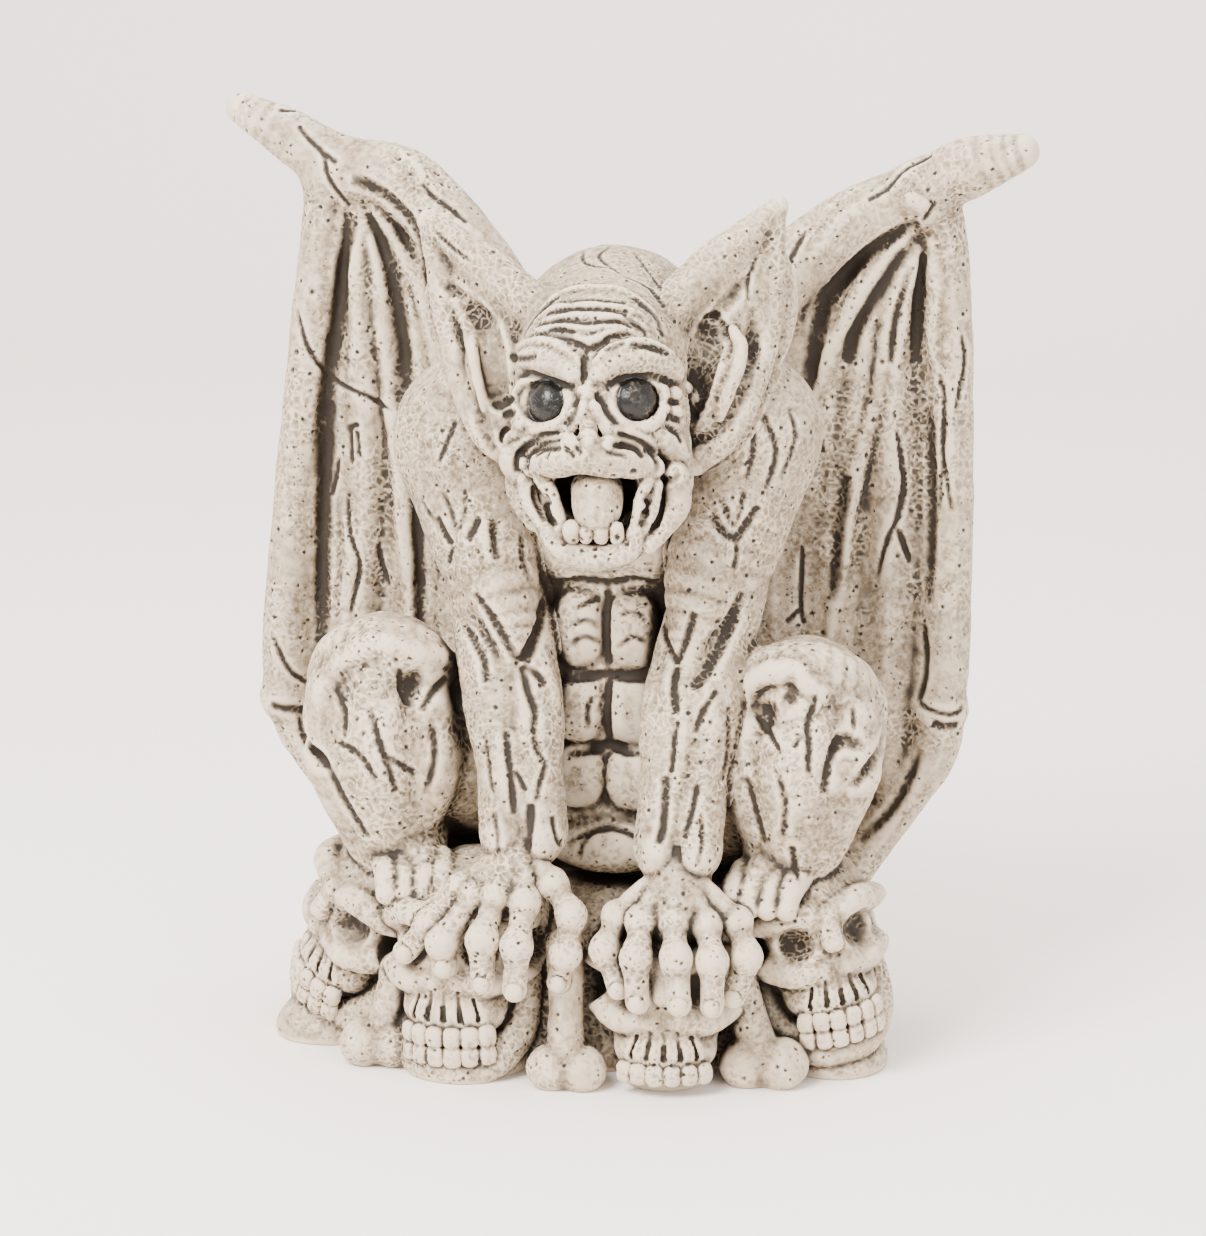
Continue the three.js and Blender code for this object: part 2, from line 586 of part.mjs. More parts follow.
function longBone({ from, to, radius }) {
  const bone = new Carving();
  bone.add(limb([[...from, radius], [...between(from, to, 0.5), radius * 0.85], [...to, radius]]));
  const radii = [radius * 1.25, radius * 1.25, radius * 1.2];
  for (const side of SIDES) bone.add(lump({ centre: shifted(to, side * radius * 0.75, 0, 0), radii }, 10));
  return bone.solid;
}

function pile() {
  const mound = new Carving();
  for (const mass of MOUND) mound.add(lump(mass, mass.radii[0] > 50 ? 24 : 12));
  const parts = [mound.solid, ...SKULLS.map(skull), ...BONES.map(longBone)];
  return parts.reduce((whole, next) => whole.add(next));
}

// Thins a closed triangle mesh by folding its flattest edges, one at a time, so that it stays closed
function thinned(vertices, faces, goal) {
  const points = Float64Array.from(vertices);
  const triangles = Int32Array.from(faces);
  const count = points.length / 3;
  const quadrics = new Float64Array(count * 10);
  const around = Array.from({ length: count }, () => new Set());
  const normalOf = (a, b, c) => {
    const ux = points[3 * b] - points[3 * a];
    const uy = points[3 * b + 1] - points[3 * a + 1];
    const uz = points[3 * b + 2] - points[3 * a + 2];
    const vx = points[3 * c] - points[3 * a];
    const vy = points[3 * c + 1] - points[3 * a + 1];
    const vz = points[3 * c + 2] - points[3 * a + 2];
    return [uy * vz - uz * vy, uz * vx - ux * vz, ux * vy - uy * vx];
  };
  for (let t = 0; t < triangles.length / 3; t += 1) {
    const corners = triangles.subarray(3 * t, 3 * t + 3);
    const [nx, ny, nz] = normalOf(...corners);
    const length = Math.hypot(nx, ny, nz) || 1;
    const [a, b, c] = [nx / length, ny / length, nz / length];
    const k = 3 * corners[0];
    const d = -(a * points[k] + b * points[k + 1] + c * points[k + 2]);
    const weight = length / 2;
    const plane = [a * a, a * b, a * c, a * d, b * b, b * c, b * d, c * c, c * d, d * d];
    for (const corner of corners) {
      plane.forEach((value, i) => {
        quadrics[10 * corner + i] += value * weight;
      });
      around[corner].add(t);
    }
  }
  const errorAt = (q, x, y, z) => q[0] * x * x + 2 * q[1] * x * y + 2 * q[2] * x * z + 2 * q[3] * x
    + q[4] * y * y + 2 * q[5] * y * z + 2 * q[6] * y + q[7] * z * z + 2 * q[8] * z + q[9];
  // The best place for the merged vertex, or null where the planes don't fix one
  const meetingPoint = (q) => {
    const [a, b, c, d, e, f, g, h, i] = q;
    const minorX = e * h - f * f;
    const minorY = b * h - f * c;
    const minorZ = b * f - e * c;
    const det = a * minorX - b * minorY + c * minorZ;
    const size = a + e + h;
    if (Math.abs(det) < 1e-4 * size * size * size) return null;
    const x = (-d * minorX + g * minorY - i * minorZ) / det;
    const y = (a * (-g * h + f * i) - b * (-d * h + c * i) + c * (-d * f + g * c)) / det;
    const z = (a * (-e * i + g * f) - b * (-b * i + g * c) + d * (b * f - e * c)) / det;
    return [x, y, z];
  };
  const fold = (u, v) => {
    const q = new Float64Array(10);
    for (let i = 0; i < 10; i += 1) q[i] = quadrics[10 * u + i] + quadrics[10 * v + i];
    const [a, b] = [points.subarray(3 * u, 3 * u + 3), points.subarray(3 * v, 3 * v + 3)];
    const gap = Math.hypot(a[0] - b[0], a[1] - b[1], a[2] - b[2]);
    const middle = [(a[0] + b[0]) / 2, (a[1] + b[1]) / 2, (a[2] + b[2]) / 2];
    const choices = [middle, [...a], [...b]];
    const best = meetingPoint(q);
    const stray = best ? Math.hypot(...best.map((value, i) => value - middle[i])) : Infinity;
    if (stray < gap) choices.push(best);
    let chosen = null;
    for (const place of choices) {
      const error = Math.max(errorAt(q, ...place), 0) + 1e-3 * gap * gap;
      if (!chosen || error < chosen.error) chosen = { u, v, place, error };
    }
    return chosen;
  };
  // A heap of folds with the cheapest on top
  const heap = [];
  const push = (item) => {
    let i = heap.push(item) - 1;
    while (i > 0) {
      const parent = (i - 1) >> 1;
      if (heap[parent].error <= item.error) break;
      heap[i] = heap[parent];
      i = parent;
    }
    heap[i] = item;
  };
  const pop = () => {
    const top = heap[0];
    const item = heap.pop();
    if (heap.length === 0) return top;
    let i = 0;
    for (;;) {
      let child = 2 * i + 1;
      if (child >= heap.length) break;
      if (child + 1 < heap.length && heap[child + 1].error < heap[child].error) child += 1;
      if (heap[child].error >= item.error) break;
      heap[i] = heap[child];
      i = child;
    }
    heap[i] = item;
    return top;
  };
  const version = new Int32Array(count);
  const neighbours = (v) => {
    const found = new Set();
    for (const t of around[v]) {
      for (let i = 0; i < 3; i += 1) found.add(triangles[3 * t + i]);
    }
    found.delete(v);
    return found;
  };
  const offer = (u, v) => {
    const item = fold(u, v);
    item.versions = [version[u], version[v]];
    push(item);
  };
  for (let u = 0; u < count; u += 1) {
    for (const v of neighbours(u)) {
      if (u < v) offer(u, v);
    }
  }
  // A fold is allowed if no face turns over and the mesh stays closed
  const allowed = ({ u, v, place }) => {
    const [near, far] = [neighbours(u), neighbours(v)];
    let shared = 0;
    for (const w of near) {
      if (far.has(w)) shared += 1;
    }
    if (shared !== 2) return false;
    for (const [moving, other] of [[u, v], [v, u]]) {
      for (const t of around[moving]) {
        if (around[other].has(t)) continue;
        const corners = [...triangles.subarray(3 * t, 3 * t + 3)];
        const before = normalOf(...corners);
        const kept = points.slice(3 * moving, 3 * moving + 3);
        points.set(place, 3 * moving);
        const after = normalOf(...corners);
        points.set(kept, 3 * moving);
        const dot = before[0] * after[0] + before[1] * after[1] + before[2] * after[2];
        if (dot <= 0.25 * Math.hypot(...before) * Math.hypot(...after)) return false;
      }
    }
    return true;
  };
  let left = triangles.length / 3;
  while (left > goal && heap.length > 0) {
    const item = pop();
    const { u, v, place, versions } = item;
    if (versions[0] !== version[u] || versions[1] !== version[v] || !allowed(item)) continue;
    for (const t of [...around[v]]) {
      if (around[u].has(t)) {
        for (let i = 0; i < 3; i += 1) around[triangles[3 * t + i]].delete(t);
        left -= 1;
        continue;
      }
      for (let i = 0; i < 3; i += 1) {
        if (triangles[3 * t + i] === v) triangles[3 * t + i] = u;
      }
      around[u].add(t);
    }
    around[v].clear();
    version[v] += 1;
    points.set(place, 3 * u);
    for (let i = 0; i < 10; i += 1) quadrics[10 * u + i] += quadrics[10 * v + i];
    version[u] += 1;
    for (const w of neighbours(u)) offer(u, w);
  }
  const numbers = new Map();
  const keptPoints = [];
  const keptFaces = [];
  const live = new Set();
  for (const set of around) set.forEach((t) => live.add(t));
  for (const t of live) {
    for (let i = 0; i < 3; i += 1) {
      const v = triangles[3 * t + i];
      if (!numbers.has(v)) {
        numbers.set(v, numbers.size);
        keptPoints.push(...points.subarray(3 * v, 3 * v + 3));
      }
      keptFaces.push(numbers.get(v));
    }
  }
  return { vertProperties: new Float32Array(keptPoints), triVerts: new Uint32Array(keptFaces) };
}

// The casting
const limbs = [
  torso(),
  arm(LEFT_ARM),
  arm(RIGHT_ARM),
  hand(LEFT_FINGERS, LEFT_ARM),
  hand(RIGHT_FINGERS, RIGHT_ARM),
  leg(-1),
  leg(1),
  head(),
  ear(LEFT_EAR),
  ear(RIGHT_EAR),
  wing(LEFT_WING),
  wing(RIGHT_WING),
  pile(),
];
const figure = limbs.reduce((whole, next) => whole.add(next));
const full = figure.getMesh();
const { vertProperties, triVerts } = thinned(full.vertProperties, full.triVerts, TRIANGLE_GOAL);
const carved = new wasm.Manifold(new wasm.Mesh({ numProp: 3, vertProperties, triVerts }));

// The underside is cut flat
const floor = new THREE.BoxGeometry(FLOOR_BLOCK.side, FLOOR_BLOCK.side, FLOOR_BLOCK.height);
floor.translate(0, 0, -FLOOR_BLOCK.height / 2);
const cast = carved.subtract(solidOf(floor)).getMesh();

const geometry = new THREE.BufferGeometry();
geometry.setAttribute("position", new THREE.BufferAttribute(cast.vertProperties, 3));
geometry.setIndex(new THREE.BufferAttribute(cast.triVerts, 1));
geometry.computeVertexNormals();

const castStone = new THREE.MeshStandardMaterial({ color: 0xcbbfa6, roughness: 0.85, metalness: 0 });
const statue = new THREE.Mesh(geometry, castStone);
statue.name = "gargoyle_statue";

const gargoyle = new THREE.Group();
gargoyle.add(statue);

export default gargoyle;
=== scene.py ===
import math

import bpy
import numpy as np
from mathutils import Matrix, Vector


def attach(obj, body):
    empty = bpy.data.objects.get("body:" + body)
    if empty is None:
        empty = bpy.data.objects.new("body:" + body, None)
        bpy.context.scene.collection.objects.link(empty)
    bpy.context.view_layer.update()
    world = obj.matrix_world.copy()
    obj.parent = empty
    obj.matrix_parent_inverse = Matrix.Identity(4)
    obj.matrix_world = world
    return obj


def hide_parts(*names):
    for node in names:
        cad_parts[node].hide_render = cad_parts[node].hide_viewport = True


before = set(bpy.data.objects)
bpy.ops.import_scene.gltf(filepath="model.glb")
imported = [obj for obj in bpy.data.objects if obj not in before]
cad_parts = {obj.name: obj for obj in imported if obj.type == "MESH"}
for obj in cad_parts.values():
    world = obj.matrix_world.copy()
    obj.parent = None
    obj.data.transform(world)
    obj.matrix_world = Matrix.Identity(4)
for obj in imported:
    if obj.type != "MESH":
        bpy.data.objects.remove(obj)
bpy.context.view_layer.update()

# A gargoyle crouched on a pile of skulls and bones, cast in one.
# The forms are worked out in millimetres, in the frame of the CAD model: Z up, the figure
# looking along -Y, X to the viewer's right. The pieces made from them are in metres.
MM = 0.001

# The camera of the reference picture. A place on the surface can be named by its pixel there.
PICTURE = (1206, 1236)
AIM = np.array([-2.0, 0.0, 184.0])
AZIMUTH = math.radians(8)
ELEVATION = math.radians(14)
DISTANCE = 2000.0
MM_PER_PIXEL = 0.43
BACK = np.array([
    math.sin(AZIMUTH) * math.cos(ELEVATION), -math.cos(AZIMUTH) * math.cos(ELEVATION), math.sin(ELEVATION),
])
RIGHT = np.array([math.cos(AZIMUTH), math.sin(AZIMUTH), 0.0])
UP = np.cross(BACK, RIGHT)
EYE_POINT = AIM + DISTANCE * BACK
NEAR, BEYOND = DISTANCE - 180, DISTANCE + 160

LEFT, RIGHT_SIDE = -1, 1
SIDES = (LEFT, RIGHT_SIDE)
FAR = np.float32(60)
EDGE = 5
STAINS = []


# Clay: forms kept as distances on a grid

def turned(turn):
    """The matrix of turns about x, then y, then z, in degrees."""
    x, y, z = (math.radians(v) for v in turn)
    about_x = [[1, 0, 0], [0, math.cos(x), -math.sin(x)], [0, math.sin(x), math.cos(x)]]
    about_y = [[math.cos(y), 0, math.sin(y)], [0, 1, 0], [-math.sin(y), 0, math.cos(y)]]
    about_z = [[math.cos(z), -math.sin(z), 0], [math.sin(z), math.cos(z), 0], [0, 0, 1]]
    return np.array(about_z) @ np.array(about_y) @ np.array(about_x)


def blended(a, b, soft):
    """The nearer of two distances, rounded off over soft millimetres where they cross."""
    if soft <= 0:
        return np.minimum(a, b)
    near = np.maximum(soft - np.abs(a - b), 0) / np.float32(soft)
    return np.minimum(a, b) - near * near * np.float32(soft / 4)


def smooth_path(points, steps):
    """Rows of numbers along a smooth curve through the given rows."""
    rows = np.array(points, float)
    if len(rows) == 2:
        return rows[0] + (rows[1] - rows[0]) * np.linspace(0, 1, steps + 1)[:, None]
    ends = np.vstack([2 * rows[0] - rows[1], rows, 2 * rows[-1] - rows[-2]])
    share = (np.arange(steps) / steps)[:, None]
    spans = []
    for a, b, c, d in zip(ends, ends[1:], ends[2:], ends[3:]):
        curve = (2 * a - 5 * b + 4 * c - d) * share ** 2 + (3 * b - a - 3 * c + d) * share ** 3
        spans.append(0.5 * (2 * b + (c - a) * share + curve))
    return np.vstack([*spans, rows[-1:]])


def sample(field, places):
    """The field between its grid points."""
    places = np.clip(places, 0, np.array(field.shape) - 1.001)
    cell = places.astype(np.int32)
    share = (places - cell).astype(np.float32)
    total = np.zeros(len(places), np.float32)
    for corner in np.ndindex(2, 2, 2):
        weight = np.prod(np.where(corner, share, 1 - share), axis=1)
        total += weight * field[tuple((cell + corner).T)]
    return total


class Clay:
    """Distances to the surface of a form, negative inside it, on a grid over a box of space."""

    def __init__(self, low, high, cell):
        self.low = np.array(low, np.float32)
        self.cell = np.float32(cell)
        self.shape = tuple(int((h - l) / cell) + 2 for l, h in zip(low, high))
        self.field = np.full(self.shape, FAR, np.float32)
        self.ink = None
        self.place()

    def like(self):
        """Empty clay on the same grid."""
        other = Clay.__new__(Clay)
        other.low, other.cell, other.shape = self.low, self.cell, self.shape
        other.field = np.full(self.shape, FAR, np.float32)
        other.ink = None
        other.place()
        return other

    def place(self, origin=(0, 0, 0), turn=(0, 0, 0), size=1.0, side=RIGHT_SIDE):
        """What follows is placed there, and mirrored for the left side."""
        mirror = np.diag([side, 1, 1])
        self.turn = mirror @ turned(turn)
        self.origin = np.array(origin, float)
        self.size = size

    def world(self, points):
        return np.atleast_2d(np.array(points, float)) * self.size @ self.turn.T + self.origin

    def window(self, low, high):
        """The part of the grid inside a box, and the distances along its axes."""
        first = np.maximum(np.floor((low - self.low) / self.cell).astype(int), 0)
        last = np.minimum(np.ceil((high - self.low) / self.cell).astype(int) + 1, self.shape)
        if np.any(last <= first):
            return None, None
        axes = [self.low[i] + self.cell * np.arange(first[i], last[i], dtype=np.float32) for i in range(3)]
        where = tuple(slice(a, b) for a, b in zip(first, last))
        return where, (axes[0][:, None, None], axes[1][None, :, None], axes[2][None, None, :])

    def merge(self, where, distance, soft, cut):
        held = self.field[where]
        if cut:
            self.field[where] = -blended(-held, distance, soft)
        else:
            self.field[where] = blended(held, distance, soft)

    def lump(self, centre, radii, turn=(0, 0, 0), soft=3.0, cut=False, square=2.0):
        """An ellipsoid, or a rounded block where square is over 2."""
        radii = np.array(radii, float) * self.size
        centre = self.world(centre)[0]
        axes = self.turn @ turned(turn)
        soft *= self.size
        bulk = 1 if square == 2 else 1.35
        reach = np.sqrt(((axes * radii * bulk) ** 2).sum(1)) + soft + EDGE
        where, xyz = self.window(centre - reach, centre + reach)
        if where is None:
            return
        offset = [axis - np.float32(c) for axis, c in zip(xyz, centre)]
        level, slope = 0, 0
        for i in range(3):
            along = sum(offset[k] * np.float32(axes[k, i]) for k in range(3)) / np.float32(radii[i])
            if square == 2:
                along = along * along
                slope = slope + along / np.float32(radii[i] ** 2)
            else:
                along = np.abs(along) ** np.float32(square)
            level = level + along
        if square == 2:
            level = np.sqrt(level)
            distance = level * (level - 1) / np.maximum(np.sqrt(slope), np.float32(1e-6))
        else:
            distance = (level ** np.float32(1 / square) - 1) * np.float32(radii.min())
        self.merge(where, distance, soft, cut)

    def limb(self, rows, soft=3.0, cut=False, steps=4):
        """A rounded bar through rows of x, y, z and radius."""
        rows = smooth_path(rows, steps)
        points = self.world(rows[:, :3])
        radii = np.maximum(rows[:, 3], 0.05) * self.size
        soft *= self.size
        reach = float(radii.max()) + soft + EDGE
        where, _ = self.window(points.min(0) - reach, points.max(0) + reach)
        if where is None:
            return
        total = np.full(tuple(w.stop - w.start for w in where), FAR, np.float32)
        first = [w.start for w in where]
        for a, b, thick, thin in zip(points, points[1:], radii, radii[1:]):
            reach = max(thick, thin) + soft + EDGE
            inner, xyz = self.window(np.minimum(a, b) - reach, np.maximum(a, b) + reach)
            if inner is None:
                continue
            part = tuple(slice(w.start - f, w.stop - f) for w, f in zip(inner, first))
            share, gap = self.from_line(xyz, a, b)
            distance = np.sqrt(gap) - (np.float32(thick) + share * np.float32(thin - thick))
            total[part] = np.minimum(total[part], distance)
        self.merge(where, total, soft, cut)

    @staticmethod
    def from_line(xyz, a, b):
        """How far along a to b the nearest point lies, and the square of the distance to it."""
        line = b - a
        offset = [axis - np.float32(c) for axis, c in zip(xyz, a)]
        along = sum(offset[k] * np.float32(line[k]) for k in range(3)) / np.float32(line @ line + 1e-9)
        share = np.clip(along, 0, 1)
        return share, sum((offset[k] - share * np.float32(line[k])) ** 2 for k in range(3))

    def stroke(self, points, width, depth, taper=True):
        """Presses a groove along points on the surface, or raises a ridge where depth is negative.

        The deeper grooves also hold more of the dark wash.
        """
        reach = width + 2 * self.cell
        where, _ = self.window(points.min(0) - reach, points.max(0) + reach)
        if where is None:
            return
        near = np.full(tuple(w.stop - w.start for w in where), 9e9, np.float32)
        along = np.zeros_like(near)
        first = [w.start for w in where]
        count = len(points) - 1
        for i, (a, b) in enumerate(zip(points, points[1:])):
            inner, xyz = self.window(np.minimum(a, b) - reach, np.maximum(a, b) + reach)
            if inner is None:
                continue
            part = tuple(slice(w.start - f, w.stop - f) for w, f in zip(inner, first))
            share, gap = self.from_line(xyz, a, b)
            closer = gap < near[part]
            near[part] = np.where(closer, gap, near[part])
            along[part] = np.where(closer, (i + share) / count, along[part])
        depth_there = np.clip(1 - np.sqrt(near) / np.float32(width), 0, 1)
        depth_there = depth_there * depth_there * (3 - 2 * depth_there)
        if taper:
            depth_there *= np.sqrt(np.clip(np.minimum(along, 1 - along) * 4, 0, 1))
        self.field[where] += np.float32(depth) * depth_there
        if depth > 0:
            if self.ink is None:
                self.ink = np.zeros(self.shape, np.float32)
            self.ink[where] = np.maximum(self.ink[where], depth_there * np.float32(min(depth, 1.5)))

    def dent(self, centre, radii, depth):
        """Presses a soft dent, or raises a soft bump where depth is negative."""
        centre = self.world(centre)[0]
        radii = np.broadcast_to(np.array(radii, float) * self.size, 3)
        where, xyz = self.window(centre - radii, centre + radii)
        if where is None:
            return
        level = sum(((axis - np.float32(c)) / np.float32(r)) ** 2 for axis, c, r in zip(xyz, centre, radii))
        near = np.clip(1 - np.sqrt(level), 0, 1)
        self.field[where] += np.float32(depth * self.size) * near * near * (3 - 2 * near)

    def land(self, starts, ahead, length):
        """Where lines from starts first meet the surface, for those that do."""
        steps = np.arange(0, length, float(self.cell) * 0.7)
        places = starts[:, None, :] + ahead[:, None, :] * steps[None, :, None]
        spots = (places.reshape(-1, 3) - self.low) / self.cell
        inside = np.all((spots >= 0) & (spots <= np.array(self.shape) - 1), axis=1)
        level = np.where(inside, sample(self.field, spots), FAR).reshape(len(starts), -1)
        met = np.argmax(level < 0, axis=1)
        rows = np.arange(len(starts))
        found = (level[rows, met] < 0) & (met > 0)
        before, after = level[rows, met - 1], level[rows, met]
        share = np.clip(before / np.maximum(before - after, 1e-6), 0, 1)
        points = starts + ahead * (steps[met - 1] + share * (steps[1] - steps[0]))[:, None]
        return points[found]

    def seen(self, pixels):
        """The points of the surface that the picture shows at these pixels."""
        pixels = np.array(pixels, float)
        x = (pixels[:, :1] - PICTURE[0] / 2) * MM_PER_PIXEL / DISTANCE
        y = (PICTURE[1] / 2 - pixels[:, 1:]) * MM_PER_PIXEL / DISTANCE
        ahead = -BACK + x * RIGHT + y * UP
        return self.land(EYE_POINT + ahead * NEAR, ahead, BEYOND - NEAR)

    def draw(self, lines, width, depth, taper=True):
        """Strokes along lines of pixels, laid on the surface there."""
        for line in lines:
            points = self.seen(smooth_path(line, 5))
            if len(points) > 1:
                self.stroke(points, width, depth, taper)

    def skin(self, points):
        """The outward direction of the surface at points on it."""
        spots = (points - self.low) / self.cell
        steps = 1.5 * np.eye(3)
        slope = np.stack([sample(self.field, spots + s) - sample(self.field, spots - s) for s in steps], 1)
        return slope / np.maximum(np.linalg.norm(slope, axis=1, keepdims=True), 1e-6)

    def lay(self, lines, radius, lift, soft=1.5, ends=0.55, cut=False):
        """Bars along lines of pixels, standing that far out of the surface, or cut that far into it."""
        for line in lines:
            points = self.seen(smooth_path(line, 3))
            if len(points) < 2:
                continue
            out = (radius - lift) if cut else (lift - radius)
            points = points + out * self.skin(points)
            along = np.linspace(0, 1, len(points))
            radii = radius * (ends + (1 - ends) * np.sin(np.pi * along) ** 0.6)
            self.limb(np.column_stack([points, radii]), soft=soft, cut=cut, steps=1)

    def knobs(self, pixels, radius, lift, soft=1.5, cut=False):
        """Round knobs or holes on the surface at these pixels."""
        points = self.seen(pixels)
        out = (radius - lift) if cut else (lift - radius)
        for point in points + out * self.skin(points):
            self.lump(point, (radius, radius, radius), soft=soft, cut=cut)


def placed(rows):
    """Rows of picture x and y, distance along Y and radius, as rows in space."""
    result = []
    for x, y, depth, radius in rows:
        across = (x - PICTURE[0] / 2) * MM_PER_PIXEL / DISTANCE
        up = (PICTURE[1] / 2 - y) * MM_PER_PIXEL / DISTANCE
        ahead = -BACK + across * RIGHT + up * UP
        point = EYE_POINT + ahead * (depth - EYE_POINT[1]) / ahead[1]
        result.append((*point, radius))
    return result


# Body and legs

MIDDLE = 3
TORSO = [
    ((2, 22, 262), (50, 38, 58)),
    ((2, 8, 222), (54, 40, 50)),
    ((3, 8, 160), (46, 38, 60)),
    ((2, 16, 104), (56, 45, 44)),
]
NECK = [(6, -45, 290, 26), (3, -12, 286, 34), (0, 20, 274, 40)]
CHEST = ((17, -24, 222), (18, 13, 15))
FLANK = ((30, -12, 156), (14, 20, 38))
BELLY_PADS = [
    ((11.4, -22, 186), (12, 13, 18)),
    ((11.4, -22, 152), (12, 13, 16.5)),
    ((11.4, -22, 121), (12, 13, 15)),
]
SEAT = ((5, -24, 90), (28, 15, 12))
BACKBONE = {"low": 96, "high": 300, "pitch": 17, "sunk": 2, "radii": (6, 7, 8)}

# Squatting legs, given for the viewer's right. The left knee is higher and further out.
KNEE_SHIFTS = {RIGHT_SIDE: (0, 0), LEFT: (3, 4)}
THIGH = [(44, 26, 100, 34), (68, -4, 122, 36), (86, -24, 142, 32)]
KNEE = ((89, -30, 148), (33, 29, 38), (-10, 0, 0))
CALF = [(90, -38, 130, 28), (88, -38, 112, 24), (84, -36, 90, 19)]
KNEE_RIDGE = [
    (66, -36, 164, 9), (73, -43, 171, 13), (88, -44, 172, 16), (104, -39, 168, 13), (112, -28, 160, 9),
]
KNEE_HOLLOW = ((73, -60, 159), (10, 9, 9), (0, 20, 0))
CALF_STRANDS = [
    [(90, -50, 160, 11), (87, -56, 136, 13), (86, -50, 102, 9)],
    [(108, -44, 156, 12), (109, -46, 130, 12), (96, -44, 98, 9)],
    [(68, -44, 150, 10), (67, -46, 126, 12), (76, -44, 98, 9)],
]
CALF_NOTCH = [(128, -36, 146, 5), (120, -48, 139, 4), (114, -58, 132, 2)]
FOOT = [(80, -34, 92, 15), (74, -50, 85, 12), (70, -60, 80, 8)]
TOE = [(65, -50, 88, 6), (62, -61, 84, 5.5), (61, -67, 77, 4.5)]
TOES, TOE_PITCH = 4, 8


# Lines and ridges of the belly and the knees in the picture
BELLY_LINES = [
    ([(554, 582), (580, 579), (608, 582), (633, 579), (658, 583)], 3.0, 2.0),
    ([(608, 581), (608, 620), (608, 671)], 2.6, 2.0),
    ([(609, 676), (608, 710), (609, 747)], 2.6, 1.8),
    ([(557, 677), (580, 678), (608, 674), (636, 678), (657, 676)], 3.4, 2.4),
    ([(566, 754), (591, 751), (608, 744), (627, 751), (647, 754)], 3.4, 2.4),
    ([(594, 695), (588, 710), (589, 730)], 2.0, 1.6),
    ([(574, 609), (591, 601), (602, 598)], 2.2, 0.8),
    ([(571, 626), (585, 620), (599, 626)], 2.2, 0.8),
    ([(568, 646), (585, 637), (602, 643)], 2.2, 0.8),
    ([(619, 615), (633, 612), (647, 620)], 2.2, 0.8),
    ([(616, 648), (633, 637), (647, 643)], 2.2, 0.8),
    ([(566, 845), (585, 834), (608, 828), (630, 834), (644, 842)], 3.0, 1.6),
    ([(568, 871), (596, 878), (624, 876), (644, 871)], 3.4, 2.2),
    ([(594, 831), (582, 845), (580, 859)], 2.2, 1.2),
    ([(596, 878), (589, 895), (587, 915)], 2.6, 1.6),
]
KNEE_RIDGES = [
    ([(318, 706), (324, 681), (345, 659), (368, 646), (393, 644), (419, 652), (444, 655)], 5.0, 1.6),
    ([(444, 655), (460, 665), (463, 681)], 4.0, 2.0),
    ([(401, 687), (390, 719), (399, 760)], 5.0, 1.2),
    ([(745, 700), (752, 682), (772, 671), (795, 671), (808, 684)], 4.4, 3.0),
    ([(808, 684), (820, 693), (817, 706)], 4.0, 2.0),
    ([(830, 706), (820, 738), (817, 776)], 5.0, 1.2),
    ([(749, 714), (745, 744), (753, 783)], 4.4, 1.0),
]
KNEE_HOLES = [
    ([(460, 681), (457, 693), (460, 708)], 4.4, 4.0),
    ([(419, 671), (406, 687), (399, 706)], 4.0, 1.6),
    ([(756, 694), (765, 689), (776, 689)], 4.6, 3.6),
    ([(785, 684), (790, 692), (785, 703)], 4.2, 3.2),
    ([(859, 746), (846, 741), (835, 746)], 3.6, 3.0),
]
LEG_LINES = [
    ([(447, 677), (431, 694), (420, 711)], 2.8, 1.8),
    ([(401, 667), (399, 689), (406, 706)], 2.4, 1.2),
    ([(369, 705), (380, 744), (390, 773), (396, 794)], 2.6, 1.5),
    ([(383, 753), (399, 764), (416, 774)], 2.4, 1.3),
    ([(338, 741), (361, 757), (378, 783)], 2.6, 1.4),
    ([(325, 760), (342, 795), (368, 838)], 3.2, 1.6),
    ([(336, 687), (345, 712), (345, 738)], 2.6, 1.0),
    ([(431, 719), (435, 757), (425, 795)], 2.8, 1.2),
    ([(756, 714), (769, 732), (781, 755)], 2.2, 1.9),
    ([(817, 695), (808, 722), (809, 749), (808, 775)], 2.4, 2.0),
    ([(802, 735), (793, 748)], 1.8, 1.2),
    ([(839, 735), (829, 760), (823, 795)], 3.4, 1.8),
    ([(776, 767), (785, 805), (782, 840)], 2.6, 1.0),
    ([(747, 776), (757, 815), (766, 846)], 2.6, 1.0),
    ([(792, 846), (794, 862), (799, 882)], 2.2, 1.6),
    ([(854, 706), (853, 722), (855, 732)], 2.0, 1.0),
]


def shifted(row, dx, dy, dz):
    return (row[0] + dx, row[1] + dy, row[2] + dz, *row[3:])


def between(a, b, share):
    return tuple(u + (v - u) * share for u, v in zip(a, b))


def on_side(side, rows):
    return [(side * row[0], *row[1:]) for row in rows]


def back_at(z):
    """How far back the body reaches on its middle line at a height."""
    reach = []
    for centre, radii in TORSO:
        height = (z - centre[2]) / radii[2]
        reach.append(centre[1] + radii[1] * math.sqrt(max(1 - height * height, 0)))
    return max(reach)


